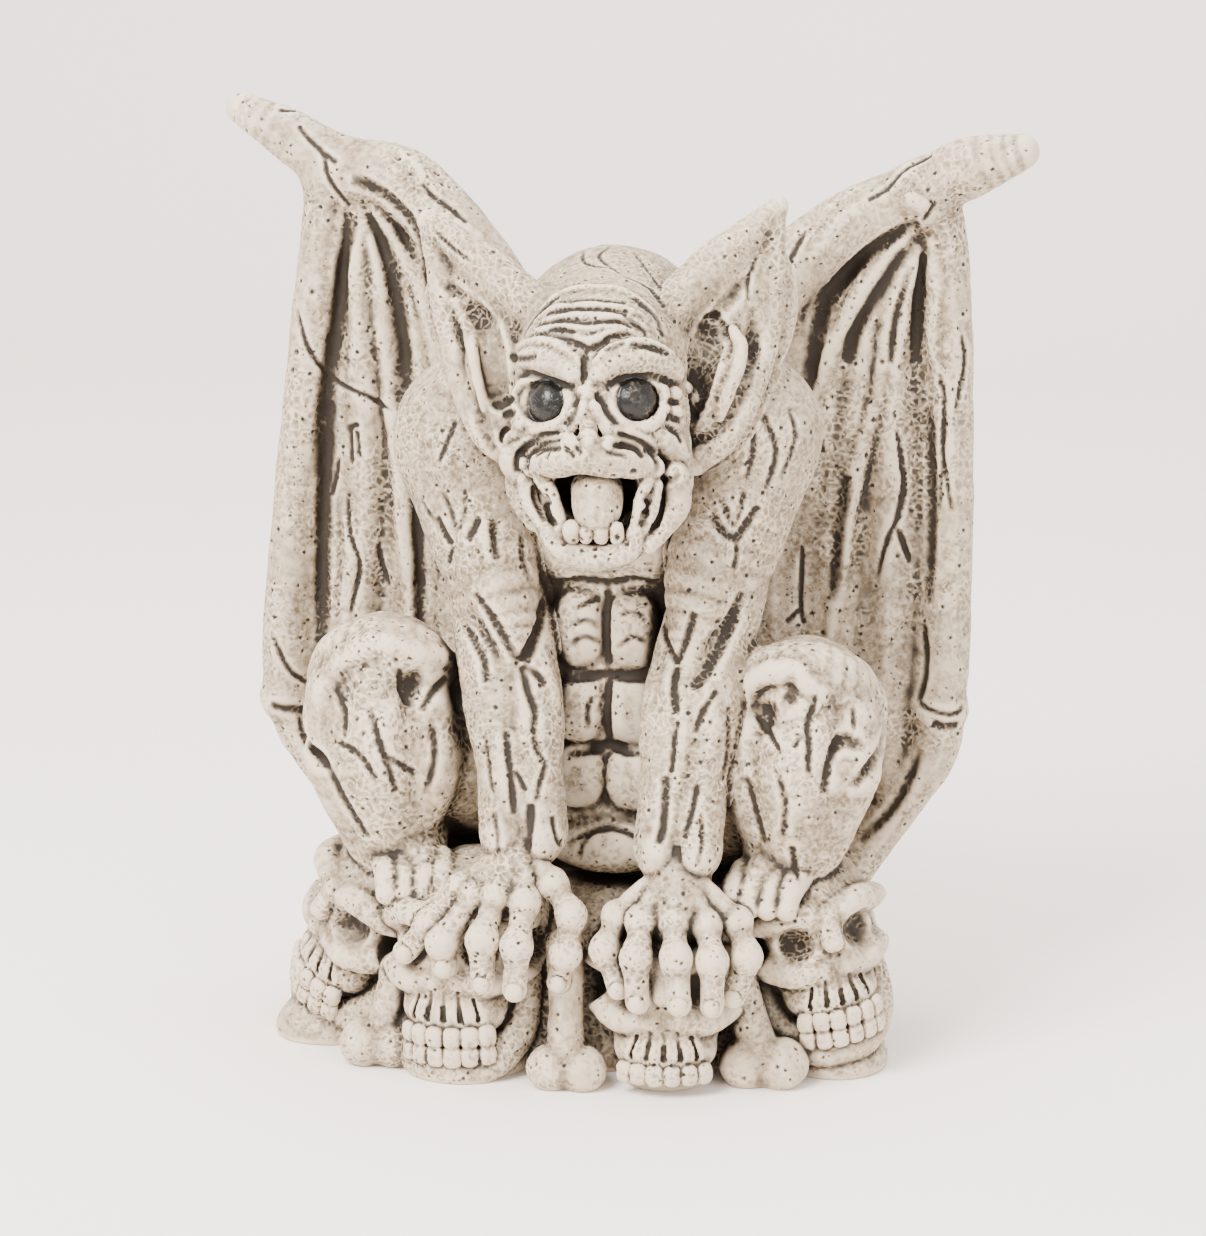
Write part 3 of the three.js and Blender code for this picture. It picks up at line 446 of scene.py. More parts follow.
def torso(clay):
    """Humped back, rib cage, waist and hips, with the chest and belly muscles on the front."""
    for centre, radii in TORSO:
        clay.lump(centre, radii, soft=14)
    clay.limb(NECK, soft=10)
    clay.place((MIDDLE, 0, 0))
    for side in SIDES:
        for (centre, radii), soft in ((CHEST, 5), (FLANK, 8)):
            clay.lump((side * centre[0], *centre[1:]), radii, soft=soft)
        for centre, radii in BELLY_PADS:
            clay.lump((side * centre[0], *centre[1:]), radii, soft=1.5, square=2.6)
    clay.place()
    clay.lump(*SEAT, soft=4)
    z = BACKBONE["low"]
    while z < BACKBONE["high"]:
        clay.lump((2, back_at(z) - BACKBONE["sunk"], z), BACKBONE["radii"], soft=5)
        z += BACKBONE["pitch"]


def leg(clay, side):
    """Squatting leg, given for the viewer's right and mirrored for the left."""
    out, lift = KNEE_SHIFTS[side]
    clay.place(side=side)

    def moved(rows):
        """Rows move with the knee, more so the higher they sit on the shin."""
        shares = [min(max((row[2] - 130) / 15, 0), 1) for row in rows]
        return [shifted(row, out, 0, lift * s * s * (3 - 2 * s)) for row, s in zip(rows, shares)]

    def knee(mass):
        return shifted(mass[0], out, 0, lift), mass[1], mass[2]

    clay.limb([*THIGH[:2], *moved(THIGH[2:])], soft=12)
    clay.lump(*knee(KNEE), soft=10)
    clay.limb(moved(CALF), soft=10)
    clay.limb(moved(KNEE_RIDGE), soft=7)
    clay.lump(*knee(KNEE_HOLLOW), soft=5, cut=True)
    for strand in CALF_STRANDS:
        clay.limb(moved(strand), soft=5)
    clay.limb(CALF_NOTCH, soft=4, cut=True)
    clay.limb(FOOT, soft=5)
    for toe in range(TOES):
        clay.limb([shifted(row, toe * TOE_PITCH, 0, 0) for row in TOE], soft=1.5)
    clay.place()


def body(clay, detail):
    torso(clay)
    for side in SIDES:
        leg(clay, side)
    for line, radius, depth in KNEE_HOLES:
        clay.lay([line], radius, depth, soft=3, cut=True)
    if detail:
        for line, radius, lift in KNEE_RIDGES:
            clay.lay([line], radius, lift, soft=3)
        for line, width, depth in (*BELLY_LINES, *LEG_LINES):
            clay.draw([line], width, depth)


# Arms and hands, from the shoulder over the elbow to the wrist

ARMS = {
    LEFT: {
        "shoulder": (-61, -14, 264), "elbow": (-43, -33, 204), "crook": (-35, -43, 180), "wrist": (-27, -62, 106),
    },
    RIGHT_SIDE: {
        "shoulder": (64, -14, 270), "elbow": (51, -33, 207), "crook": (43, -43, 182), "wrist": (39, -64, 102),
    },
}
SHOULDER_RADII = (27.5, 28, 34)
UPPER_ARM_RADII = (26, 24.5, 19)
BICEPS_RADII = (13, 17.5, 9, 3)
FOREARM_RADII = {1: (12, 15.5, 13, 11.5), -1: (12, 14, 13, 11.5)}
FOREARM_SPREADS = (8, 6.5, 5.5, 7)
WRIST_BLOCK, WRIST_BLOCK_RADII = 8, (9, 12.5, 12)

# Fingers, each from the knuckle over the middle joint to the tip
FINGERS = {
    LEFT: [
        [(-51, -74, 84), (-64, -81, 69), (-75, -80, 56)],
        [(-45, -78, 82), (-58, -88, 64), (-57, -88, 53)],
        [(-36, -80, 83), (-40, -92, 67), (-40, -93, 48)],
        [(-24, -81, 81), (-25, -93, 65), (-26, -94, 46)],
        [(-13, -73, 87), (-4, -81, 76), (-6, -85, 60), (-9, -84, 47)],
    ],
    RIGHT_SIDE: [
        [(15, -76, 75), (11, -84, 62), (17, -89, 47)],
        [(26, -82, 75), (25, -94, 63), (26, -97, 44)],
        [(40, -83, 76), (42, -96, 64), (44, -100, 45)],
        [(53, -81, 74), (57, -93, 62), (57, -95, 43)],
        [(65, -74, 74), (70, -82, 61), (65, -84, 44)],
    ],
}
PALM_RADII = (13, 15)
TENDON_RADII = (3.6, 5.2)
FINGER_RADIUS, FINGER_WAIST, FINGER_TIP = 6.2, 4.9, 5
KNUCKLE_RADII = (6.8, 6.8, 6.4)
NAIL_RADII = (3.4, 2.2, 3.8)


# Lines and ridges of the arms in the picture
ARM_RIDGES = [
    ([(482, 518), (486, 538), (490, 557)], 3.2, 1.6),
    ([(484, 612), (497, 637), (512, 657)], 4.0, 1.0),
    ([(470, 637), (480, 660), (481, 688)], 4.0, 0.9),
    ([(540, 648), (552, 682), (557, 710)], 4.0, 1.2),
    ([(518, 676), (523, 704), (521, 733)], 3.4, 0.9),
    ([(498, 733), (501, 763), (504, 794)], 3.4, 0.8),
    ([(683, 674), (695, 648), (711, 620)], 4.0, 1.2),
    ([(717, 676), (727, 648), (745, 615)], 4.0, 1.4),
    ([(669, 637), (674, 660), (667, 688)], 3.0, 0.9),
    ([(683, 704), (681, 747), (676, 789)], 3.4, 1.0),
    ([(709, 693), (714, 721), (709, 755)], 3.4, 0.9),
]
ARM_FURROWS = [
    ([(474, 592), (493, 620), (509, 648), (521, 663)], 3.4, 2.6),
    ([(548, 584), (540, 620), (531, 646), (522, 662)], 4.2, 3.2),
    ([(522, 663), (527, 688), (535, 713), (532, 734)], 2.8, 2.0),
    ([(523, 665), (537, 674), (546, 685)], 2.6, 2.2),
    ([(465, 625), (475, 643), (484, 660), (486, 683)], 3.0, 2.4),
    ([(436, 516), (444, 533), (452, 546)], 3.0, 2.4),
    ([(467, 541), (474, 529), (479, 516)], 3.0, 2.4),
    ([(452, 546), (450, 555), (448, 564)], 2.2, 1.4),
    ([(494, 519), (493, 539), (497, 561)], 3.0, 1.4),
    ([(521, 531), (523, 559), (532, 584)], 3.0, 1.0),
    ([(660, 614), (667, 639), (677, 665)], 3.0, 2.2),
    ([(695, 611), (687, 637), (677, 665)], 3.0, 2.0),
    ([(677, 666), (674, 688), (677, 714)], 2.8, 2.2),
    ([(743, 591), (729, 626), (714, 657), (703, 676), (692, 690)], 4.2, 3.2),
    ([(711, 514), (723, 531), (736, 537), (748, 522), (759, 505)], 3.2, 2.4),
    ([(736, 537), (737, 553), (734, 570)], 2.2, 1.2),
    ([(718, 689), (702, 713), (695, 734)], 2.6, 1.2),
    ([(728, 704), (728, 747), (721, 783)], 3.0, 1.0),
    ([(456, 421), (447, 443), (439, 463)], 1.8, 1.5),
    ([(762, 413), (776, 451), (764, 496)], 2.6, 1.2),
    ([(747, 406), (754, 441), (746, 483)], 2.2, 1.0),
    ([(788, 406), (795, 438), (781, 480)], 2.4, 0.9),
]
FOREARM_LINES = [
    ([(505, 730), (509, 763), (512, 789), (514, 815)], 2.4, 1.7),
    ([(515, 770), (521, 782), (527, 792)], 2.0, 1.3),
    ([(531, 803), (529, 831), (525, 859), (528, 873)], 3.4, 3.4),
    ([(552, 815), (557, 838), (564, 848)], 2.2, 1.9),
    ([(534, 727), (536, 748), (546, 765)], 2.2, 1.2),
    ([(546, 763), (540, 783), (535, 803)], 2.2, 1.2),
    ([(665, 775), (665, 803), (663, 828), (658, 845)], 3.0, 2.4),
    ([(698, 783), (693, 808), (684, 840)], 2.4, 1.8),
    ([(678, 721), (674, 747), (672, 772)], 2.2, 1.2),
    ([(677, 845), (678, 867), (678, 887)], 3.0, 2.2),
    ([(493, 811), (497, 836), (498, 856)], 2.2, 0.9),
    ([(700, 811), (702, 842), (697, 867)], 2.2, 0.9),
    ([(484, 733), (489, 766), (493, 794)], 2.2, 0.9),
]
SHOULDER_LINES = [
    [(420, 497), (431, 516), (442, 533)],
    [(442, 491), (451, 511), (456, 531)],
    [(465, 488), (465, 508), (459, 531)],
    [(720, 497), (728, 514), (735, 531)],
    [(745, 488), (741, 508), (736, 528)],
]


def arm(clay, side):
    shoulder, elbow, crook, wrist = ARMS[side].values()
    clay.lump(shoulder, SHOULDER_RADII, soft=8)
    upper = (shoulder, between(shoulder, elbow, 0.5), elbow)
    clay.limb([(*point, radius) for point, radius in zip(upper, UPPER_ARM_RADII)], soft=8)
    # biceps, running down to a point in the crook of the arm
    biceps = (
        shifted(shoulder, -side * 4, -12, -12),
        shifted(between(shoulder, crook, 0.55), -side * 4, -9, 0),
        shifted(crook, -side, -6, 10),
        shifted(crook, -side, -12, -4),
    )
    clay.limb([(*point, radius) for point, radius in zip(biceps, BICEPS_RADII)], soft=3)
    # forearm: two long masses side by side, then the blocky end over the hand
    for half in SIDES:
        out = side * half
        line = (
            shifted(elbow, 0, 4 - 3 * half, -4),
            shifted(between(crook, wrist, 0.28), 0, -1, 0),
            between(crook, wrist, 0.62),
            wrist,
        )
        rows = [
            (*shifted(point, out * spread, 0, 0), radius)
            for point, spread, radius in zip(line, FOREARM_SPREADS, FOREARM_RADII[half])
        ]
        clay.limb(rows, soft=3.5)
        clay.lump(shifted(wrist, out * WRIST_BLOCK, -2, -2), WRIST_BLOCK_RADII, soft=2.5)


def hand(clay, side):
    wrist = ARMS[side]["wrist"]
    middle = FINGERS[side][2][0]
    palm = (shifted(wrist, 0, 3, -2), between(wrist, shifted(middle, 0, 8, -6), 0.8))
    clay.limb([(*point, radius) for point, radius in zip(palm, PALM_RADII)], soft=4)
    for finger in FINGERS[side]:
        knuckle, tip = finger[0], finger[-1]
        tendon = (shifted(between(wrist, knuckle, 0.25), 0, -6, -2), shifted(knuckle, 0, -1, 0))
        clay.limb([(*point, radius) for point, radius in zip(tendon, TENDON_RADII)], soft=2)
        # each finger is thick at its joints and waisted between them
        rows = []
        for a, b in zip(finger, finger[1:]):
            rows += [(*a, FINGER_RADIUS), (*between(a, b, 0.5), FINGER_WAIST)]
        clay.limb([*rows, (*tip, FINGER_TIP)], soft=1.5)
        for joint in finger[:-1]:
            clay.lump(shifted(joint, 0, -1, 0), KNUCKLE_RADII, soft=2)
        if finger[0][2] - tip[2] > 20:
            nail = shifted(tip, 0, -FINGER_TIP + 0.4, 0.2)
            clay.lump(nail, (NAIL_RADII[0] + 0.9, 1.6, NAIL_RADII[2] + 0.9), soft=0.6, cut=True)
            clay.lump(shifted(nail, 0, 0.5, 0), NAIL_RADII, soft=0.4)


def arms(clay, detail):
    for side in SIDES:
        arm(clay, side)
    if detail:
        for line, radius, lift in ARM_RIDGES:
            clay.lay([line], radius, lift, soft=2.5)
        for line, width, depth in (*ARM_FURROWS, *FOREARM_LINES):
            clay.draw([line], width, depth)
        clay.draw(SHOULDER_LINES, 2.2, 0.7)


def hands(clay, _):
    for side in SIDES:
        hand(clay, side)


# Head, in its own frame round the middle of the face

HEAD = (5.5, -55, 293)
HEAD_MASSES = [
    ((-1, 40, 16), (41, 46, 39), 10),
    ((0, 6, 10), (36.5, 38, 38), 10),
    ((0, -8, -8), (37, 30, 28), 6),
    ((2, -6, -34), (28, 28, 27), 5),
]
JAW_MUSCLE = [(32, -12, -18, 7), (30, -12, -38, 8.5), (25, -14, -50, 6)]
JAW = [
    (-22, -10, -34, 6.5), (-20, -24, -46, 6.5), (-12, -31, -57, 6.5), (1, -34, -60, 6.5),
    (14, -31, -58, 6.5), (23, -24, -46, 6.5), (26, -10, -34, 6.5),
]
MOUTH = ((1, -37, -36), (22, 17, 19))
THROAT = ((1, -22, -34), (17, 14, 15))
UPPER_LIP = [
    (-24, -29, -25, 5), (-13, -36, -20.5, 7), (-1, -40, -17, 8), (11, -37, -20, 7), (25, -30, -24, 5),
]

# Features given as picture x and y, the distance along Y and the radius
TONGUE = [(597, 479, -70, 9), (597, 492, -86, 10.5), (597, 507, -92, 10), (597, 515, -94, 7)]
TONGUE_GROOVE = [(597, 482, -98, 1.3), (597, 501, -103, 1.5), (597, 521, -103, 1.3)]
LIP_CORDS = [
    [(540, 476, -88, 3.4), (552, 496, -90, 3), (559, 515, -92, 2.7), (562, 534, -92, 3.2)],
    [(526, 480, -81, 3.6), (530, 501, -83, 3.4), (541, 521, -87, 3), (555, 538, -91, 3.4)],
    [(648, 479, -88, 3), (640, 501, -91, 2.6), (638, 518, -92, 2.6), (634, 534, -93, 3.2)],
    [(657, 483, -86, 2.6), (654, 507, -87, 2.4), (647, 527, -90, 2.4)],
    [(677, 479, -78, 5), (678, 501, -79, 5.5), (669, 522, -83, 4.5), (649, 544, -90, 4)],
]
CHIN_RIM = [
    (550, 534, -90, 4), (560, 548, -93, 4.6), (576, 555, -94, 4.8), (597, 559, -95, 5),
    (618, 554, -94, 4.8), (634, 544, -92, 4.4), (640, 527, -90, 3.6),
]
LOWER_TEETH = [
    [(572, 536, -94, 3.5), (572, 529, -96, 3.7)],
    [(586, 538, -95, 2.5), (586, 531, -97, 2.6)],
    [(601, 538, -95, 2.8), (601, 530, -97, 2.9)],
    [(617, 538, -95, 2.7), (617, 528, -97, 2.8)],
]
TOOTH_HOLE = [(617, 540, -101, 1.2), (617, 538, -98, 1.2)]

# Lines and places of the face in the picture
EYES = [(543, 399), (638, 398)]
EYE_RADIUS, EYE_LIFT, EYE_RING_PIXELS, EYE_RING_RADIUS = 10.4, 2.6, 27, 2.3
BROWS = [
    [(510, 363), (527, 358), (546, 360), (562, 366), (576, 374)],
    [(597, 374), (610, 363), (628, 358), (651, 358), (669, 365), (678, 374)],
]
BROW_FOLDS = [
    [(512, 350), (529, 344), (551, 344), (568, 352), (580, 363)],
    [(595, 362), (608, 350), (630, 344), (652, 344), (672, 353)],
]
BROW_EDGES = [
    [(505, 384), (520, 376), (541, 376), (560, 384), (576, 388)],
    [(602, 388), (618, 381), (640, 376), (661, 380), (676, 386)],
]
BROW_LINES = [
    [(508, 356), (520, 359), (537, 356)],
    [(603, 350), (616, 345), (626, 342)],
    [(628, 344), (647, 347), (670, 353)],
    [(586, 349), (584, 367), (583, 386)],
]
FOREHEAD_RIDGES = [
    [(537, 318), (560, 306), (588, 304), (616, 306), (641, 313)],
    [(543, 322), (571, 315), (599, 316), (627, 319), (647, 327)],
    [(537, 330), (562, 325), (588, 327), (616, 326), (641, 332)],
    [(548, 334), (571, 336), (589, 341), (610, 333), (633, 330)],
    [(526, 330), (543, 308), (565, 292), (593, 288), (624, 291), (649, 308), (662, 330)],
]
FOREHEAD_LINES = [
    [(560, 302), (593, 300), (627, 303)],
    [(546, 313), (576, 310), (604, 311), (628, 314)],
    [(537, 326), (560, 321), (588, 323), (618, 322), (640, 330)],
    [(534, 334), (560, 336), (582, 346), (590, 349), (602, 344), (613, 336), (633, 334)],
    [(523, 335), (537, 313), (560, 297)],
    [(664, 337), (656, 316), (633, 297)],
    [(548, 330), (562, 330), (576, 334)],
    [(621, 313), (634, 322), (647, 335)],
]
DOME_LINES = [
    [(633, 250), (647, 271), (663, 290)],
    [(624, 276), (649, 288), (666, 308)],
    [(584, 248), (585, 263), (618, 269)],
    [(610, 246), (599, 257), (621, 274)],
]
NOSE_BRIDGE = [[(587, 386), (587, 406), (588, 428), (588, 441)]]
NOSE_WINGS = [
    [(583, 406), (574, 420), (567, 436), (574, 445)],
    [(593, 406), (603, 420), (611, 435), (607, 445)],
]
NOSTRILS = [[(581, 420), (576, 436)], [(596, 420), (601, 437)]]
NOSE_SIDES = [
    [(580, 392), (574, 412), (564, 427)],
    [(595, 392), (604, 409), (617, 426)],
]
LID_LUMPS = [(505, 394), (506, 411), (675, 393), (676, 412)]
CHEEK_RIDGES = [
    [(503, 428), (520, 425), (515, 428)],
    [(505, 444), (513, 434), (532, 432)],
    [(511, 461), (516, 447), (534, 438), (560, 438)],
    [(522, 468), (526, 455), (541, 446), (562, 444)],
    [(617, 428), (634, 434), (649, 443), (656, 457)],
    [(618, 438), (634, 444), (645, 452)],
]
CHEEK_PADS = [
    [(661, 437), (672, 447), (677, 462), (672, 476)],
    [(507, 451), (510, 464), (517, 473)],
]
CHEEK_LINES = [
    [(560, 434), (544, 435), (525, 448), (517, 461), (517, 473)],
    [(562, 440), (544, 444), (530, 455), (525, 471)],
    [(562, 448), (546, 449), (535, 455)],
    [(514, 419), (505, 433), (501, 444)],
    [(516, 412), (503, 416)],
    [(515, 399), (503, 402)],
    [(616, 434), (634, 439), (650, 448), (658, 462), (659, 473)],
    [(619, 443), (634, 448), (644, 457)],
    [(665, 425), (677, 434), (682, 444)],
    [(666, 401), (680, 404)],
    [(666, 416), (681, 421)],
    [(661, 479), (672, 480), (681, 472)],
]
LIP_LINES = [
    [(564, 446), (576, 458)],
    [(574, 444), (583, 455)],
    [(604, 452), (628, 456)],
    [(612, 444), (630, 450)],
    [(551, 451), (546, 459)],
]
LIP_NOTCHES = [(560, 478), (576, 479), (613, 476), (634, 472)]
SLOTS = [
    [(534, 485), (536, 501), (546, 521)],
    [(545, 493), (550, 513), (556, 527)],
    [(648, 492), (645, 510), (642, 528)],
    [(663, 487), (661, 510), (651, 534)],
]
CHIN_HOLES = [(595, 549), (595, 556), (564, 544), (574, 541), (609, 544), (627, 544)]

# Ears: the upper edge up to the tip, the rim down to the lobe, and the masses between them
EARS = {
    LEFT: {
        "top": [(-22, -46, 326, 9), (-45, -36, 341, 8), (-62, -28, 352, 6.5), (-73, -23, 359, 4)],
        "rim": [
            (-72, -24, 357, 4), (-66, -30, 334, 5.5), (-62, -34, 316, 5.5),
            (-55, -42, 294, 6), (-44, -49, 274, 6.5), (-34, -48, 266, 7),
        ],
        "shell": ((-46, -34, 316), (28, 8, 36), (0, -28, -22)),
        "base": ((-38, -44, 294), (14, 12, 27), (0, -16, 0)),
    },
    RIGHT_SIDE: {
        "top": [(32, -46, 328, 9), (50, -36, 346, 8), (64, -28, 358, 6.5), (74.5, -23, 368, 4)],
        "rim": [
            (74, -24, 365, 4), (73, -30, 338, 5.5), (72, -33, 318, 5.5),
            (66, -40, 296, 6), (56, -46, 276, 6.5), (43, -47, 265, 7),
        ],
        "shell": ((55, -34, 320), (28, 8, 38), (0, 22, 18)),
        "base": ((50, -42, 294), (15, 12, 27), (0, 14, 0)),
    },
}
EAR_GOUGES = [
    ([(443, 284), (461, 295), (478, 306)], 3.0, 2.4),
    ([(470, 308), (482, 325), (489, 350), (493, 375), (498, 403)], 7.0, 7.5),
    ([(460, 306), (461, 325), (464, 347)], 3.5, 2.0),
    ([(478, 414), (488, 437), (495, 451)], 3.5, 2.4),
    ([(711, 322), (705, 347), (696, 381), (691, 414)], 7.0, 8.0),
    ([(715, 316), (728, 301), (745, 280)], 3.5, 3.0),
    ([(721, 325), (726, 342), (723, 358)], 4.0, 4.0),
    ([(752, 313), (751, 347), (741, 392), (721, 428), (697, 441)], 3.2, 2.4),
]
EAR_RIDGES = [
    ([(455, 301), (469, 336), (475, 370), (484, 409)], 2.4, 2.2),
    ([(733, 330), (741, 347), (736, 372), (725, 398), (720, 417)], 3.2, 3.2),
    ([(686, 386), (692, 395), (695, 403)], 3.4, 3.0),
]
EAR_LINES = [
    [(757, 257), (748, 280), (748, 302)],
    [(433, 229), (450, 246), (473, 263)],
]


def mouth(clay):
    for side in SIDES:
        clay.limb(on_side(side, JAW_MUSCLE), soft=4)
    clay.limb(JAW, soft=4)
    clay.lump(*MOUTH, soft=2, cut=True)
    clay.lump(*THROAT, soft=3, cut=True)
    clay.limb(UPPER_LIP, soft=2.5)
    clay.place()
    clay.limb(placed(TONGUE), soft=1)
    clay.limb(placed(TONGUE_GROOVE), soft=1.5, cut=True)
    clay.limb(placed(CHIN_RIM), soft=2.5)
    for cord in LIP_CORDS:
        clay.limb(placed(cord), soft=1.2)
    for tooth in LOWER_TEETH:
        clay.limb(placed(tooth), soft=0.6)
    clay.limb(placed(TOOTH_HOLE), soft=0.4, cut=True)


def eyes(clay):
    """Round eyes under heavy brows, each with a ring of lid round it."""
    centres = clay.seen(EYES)
    skins = clay.skin(centres)
    for (x, y), centre, skin in zip(EYES, centres, skins):
        clay.lump(centre + 3 * skin, (12, 12, 12), soft=3, cut=True)
        ball = centre + (EYE_LIFT - EYE_RADIUS) * skin
        ring = [
            (x + EYE_RING_PIXELS * math.cos(angle), y + 3 + EYE_RING_PIXELS * math.sin(angle))
            for angle in np.linspace(0, 2 * math.pi, 17)
        ]
        clay.lump(ball, (EYE_RADIUS,) * 3, soft=0.5)
        clay.lay([ring], EYE_RING_RADIUS, 2.4, soft=1, ends=1)
        STAINS.append((ball, EYE_RADIUS + 0.35, skin))
    clay.lay(BROWS, 6.2, 5.2, soft=1.6)
    clay.lay(BROW_FOLDS, 2.8, 2.2, soft=1.2)
    clay.draw(BROW_EDGES, 2.6, 1.4)


def nose(clay):
    clay.lay(NOSE_BRIDGE, 4.4, 4.6, soft=2.5, ends=0.5)
    clay.lay(NOSE_WINGS, 3.6, 3.4, soft=1.5)
    clay.lay(NOSTRILS, 2.1, 4.6, soft=0.8, ends=0.7, cut=True)
    clay.draw(NOSE_SIDES, 3, 1.6)


def face(clay):
    clay.place(HEAD)
    for centre, radii, soft in HEAD_MASSES:
        clay.lump(centre, radii, soft=soft)
    mouth(clay)
    eyes(clay)
    nose(clay)
    clay.lay(FOREHEAD_RIDGES, 2.2, 1.3, soft=1)
    clay.lay(CHEEK_RIDGES, 2.8, 2.0, soft=1.2)
    clay.lay(CHEEK_PADS, 6, 4, soft=2)
    clay.knobs(LID_LUMPS, 3.2, 2.4, soft=1)


def ear(clay, form):
    clay.lump(*form["shell"], soft=4)
    clay.lump(*form["base"], soft=4)
    clay.limb(form["top"], soft=4)
    clay.limb(form["rim"], soft=3)


def head_strokes(clay):
    clay.draw(FOREHEAD_LINES, 2.4, 1.5)
    clay.draw(DOME_LINES, 1.6, 0.9)
    clay.draw(BROW_LINES, 2.6, 1.6)
    clay.draw(CHEEK_LINES, 2.6, 2.0)
    clay.draw(LIP_LINES, 2.0, 1.0)
    clay.knobs(LIP_NOTCHES, 1.6, 1.2, soft=0.8, cut=True)
    clay.draw(SLOTS, 2.6, 2.6)
    clay.knobs(CHIN_HOLES, 1.1, 1.0, soft=0.5, cut=True)
    clay.draw(EAR_LINES, 1.6, 1.1)


def head(clay, detail):
    face(clay)
    for side in SIDES:
        ear(clay, EARS[side])
    for line, radius, depth in EAR_GOUGES:
        clay.lay([line], radius, depth, soft=2, cut=True)
    for line, radius, lift in EAR_RIDGES:
        clay.lay([line], radius, lift, soft=1.5)
    if detail:
        head_strokes(clay)


# Wings. The two differ, as hand modelled wings do.

WINGS = {
    LEFT: {
        "claw": [(-128, 58, 369, 13), (-150, 61, 382, 11), (-170, 64, 392, 7)],
        "arm": [
            (-128, 58, 366, 14), (-99, 55, 363, 15), (-72, 48, 340, 15), (-46, 38, 306, 16), (-28, 30, 280, 16),
        ],
        "strut": [
            (-129, 58, 364, 12), (-134, 59, 336, 10), (-139, 58, 297, 10), (-147, 56, 219, 10.5),
            (-152, 52, 158, 10.5), (-152, 50, 130, 10),
        ],
        "tail": [(-152, 50, 132, 10), (-146, 50, 114, 9), (-124, 49, 82, 8.5), (-98, 46, 48, 9)],
    },
    RIGHT_SIDE: {
        "claw": [(128, 50, 365, 13), (151, 47, 376, 12.5), (171, 44, 383, 7.5)],
        "arm": [
            (128, 51, 362, 14), (102, 50, 351, 14.5), (77, 46, 334, 14.5), (52, 38, 304, 15), (32, 30, 280, 16),
        ],
        "strut": [
            (132, 53, 360, 12), (138, 54, 342, 10), (141, 54, 305, 10), (143, 52, 229, 10),
            (143, 48, 167, 10), (141, 48, 136, 10),
        ],
        "tail": [(141, 48, 138, 9.5), (139, 48, 118, 10), (124, 48, 92, 9), (94, 45, 48, 9)],
    },
}
WING_ELBOW_RADII = (11.5, 11, 9)
WEB = {"thickness": 11, "hollow": 4.5, "bulge": 5, "rib": 0.11}
WEB_ROOT = {"x": 36, "y": 38, "low": 44}
RIB_SPREADS = (0.3, 0.52, 0.76)
RIB_RADIUS, RIB_BOW, RIB_FOOT = 6, 16, (146, 49, 96)


# Ridges, furrows and cracks of the wings in the picture
WING_RIDGES = {
    LEFT: [
        ([(372, 239), (379, 274), (381, 322), (386, 373), (389, 409), (396, 450)], 3.4, 2.0),
        ([(359, 233), (355, 274), (356, 322), (353, 373)], 3.0, 1.0),
        ([(373, 208), (396, 243), (416, 279), (429, 322), (437, 366)], 3.6, 2.2),
        ([(342, 202), (338, 243), (334, 292), (330, 335)], 3.0, 1.2),
        ([(390, 400), (399, 464), (403, 528), (412, 591), (410, 636)], 4.0, 2.2),
        ([(345, 496), (350, 553), (345, 604), (352, 642)], 3.0, 1.0),
        ([(363, 128), (386, 139), (414, 167), (439, 197)], 3.4, 1.0),
    ],
    RIGHT_SIDE: [
        ([(911, 229), (864, 291), (841, 329), (823, 370), (813, 396)], 3.6, 2.2),
        ([(917, 247), (902, 291), (888, 317), (882, 364), (873, 417), (858, 475), (847, 511), (843, 557)], 3.4, 2.0),
        ([(918, 252), (909, 291), (902, 329), (894, 379)], 2.6, 1.4),
        ([(871, 410), (859, 457), (852, 492), (843, 528), (839, 579), (830, 636)], 3.6, 1.8),
        ([(932, 241), (935, 288), (932, 340), (939, 382)], 3.0, 1.4),
        ([(946, 396), (949, 437), (947, 481), (949, 511)], 3.0, 1.0),
        ([(864, 203), (838, 223), (811, 258)], 3.4, 1.0),
    ],
}
WING_FURROWS = {
    LEFT: [
        ([(351, 179), (373, 188), (396, 205), (413, 225), (425, 253), (433, 282), (442, 322), (448, 363)], 4.6, 3.8),
        ([(353, 213), (342, 271), (334, 335), (323, 412), (319, 478)], 6.0, 2.4),
        ([(371, 219), (386, 253), (399, 310), (404, 361), (400, 412)], 6.0, 2.4),
        ([(367, 213), (378, 233), (388, 259)], 3.4, 2.0),
        ([(331, 400), (325, 480), (323, 559), (324, 655)], 5.5, 2.2),
        ([(414, 457), (419, 559), (419, 630)], 4.6, 2.4),
        ([(270, 705), (285, 709), (311, 711)], 3.4, 2.6),
        ([(272, 635), (288, 668), (308, 683)], 2.2, 1.4),
        ([(299, 714), (304, 738), (314, 751)], 2.4, 1.4),
    ],
    RIGHT_SIDE: [
        ([(921, 223), (888, 238), (854, 264), (828, 299), (815, 343), (810, 393)], 5.6, 4.2),
        ([(810, 393), (817, 431), (824, 453)], 2.4, 2.2),
        ([(905, 248), (877, 294), (854, 335), (847, 364)], 5.0, 2.4),
        ([(912, 264), (896, 317), (891, 364)], 3.0, 1.4),
        ([(924, 252), (918, 305), (916, 364)], 4.0, 1.6),
        ([(848, 473), (839, 534), (833, 604)], 5.0, 2.0),
        ([(929, 406), (932, 496), (929, 604)], 4.6, 2.0),
        ([(924, 623), (926, 671), (918, 703)], 3.0, 1.6),
        ([(918, 703), (935, 712), (955, 714), (964, 706)], 2.4, 1.4),
        ([(931, 723), (945, 727), (959, 725)], 3.4, 2.6),
        ([(859, 843), (897, 802), (922, 748)], 4.0, 1.6),
    ],
}
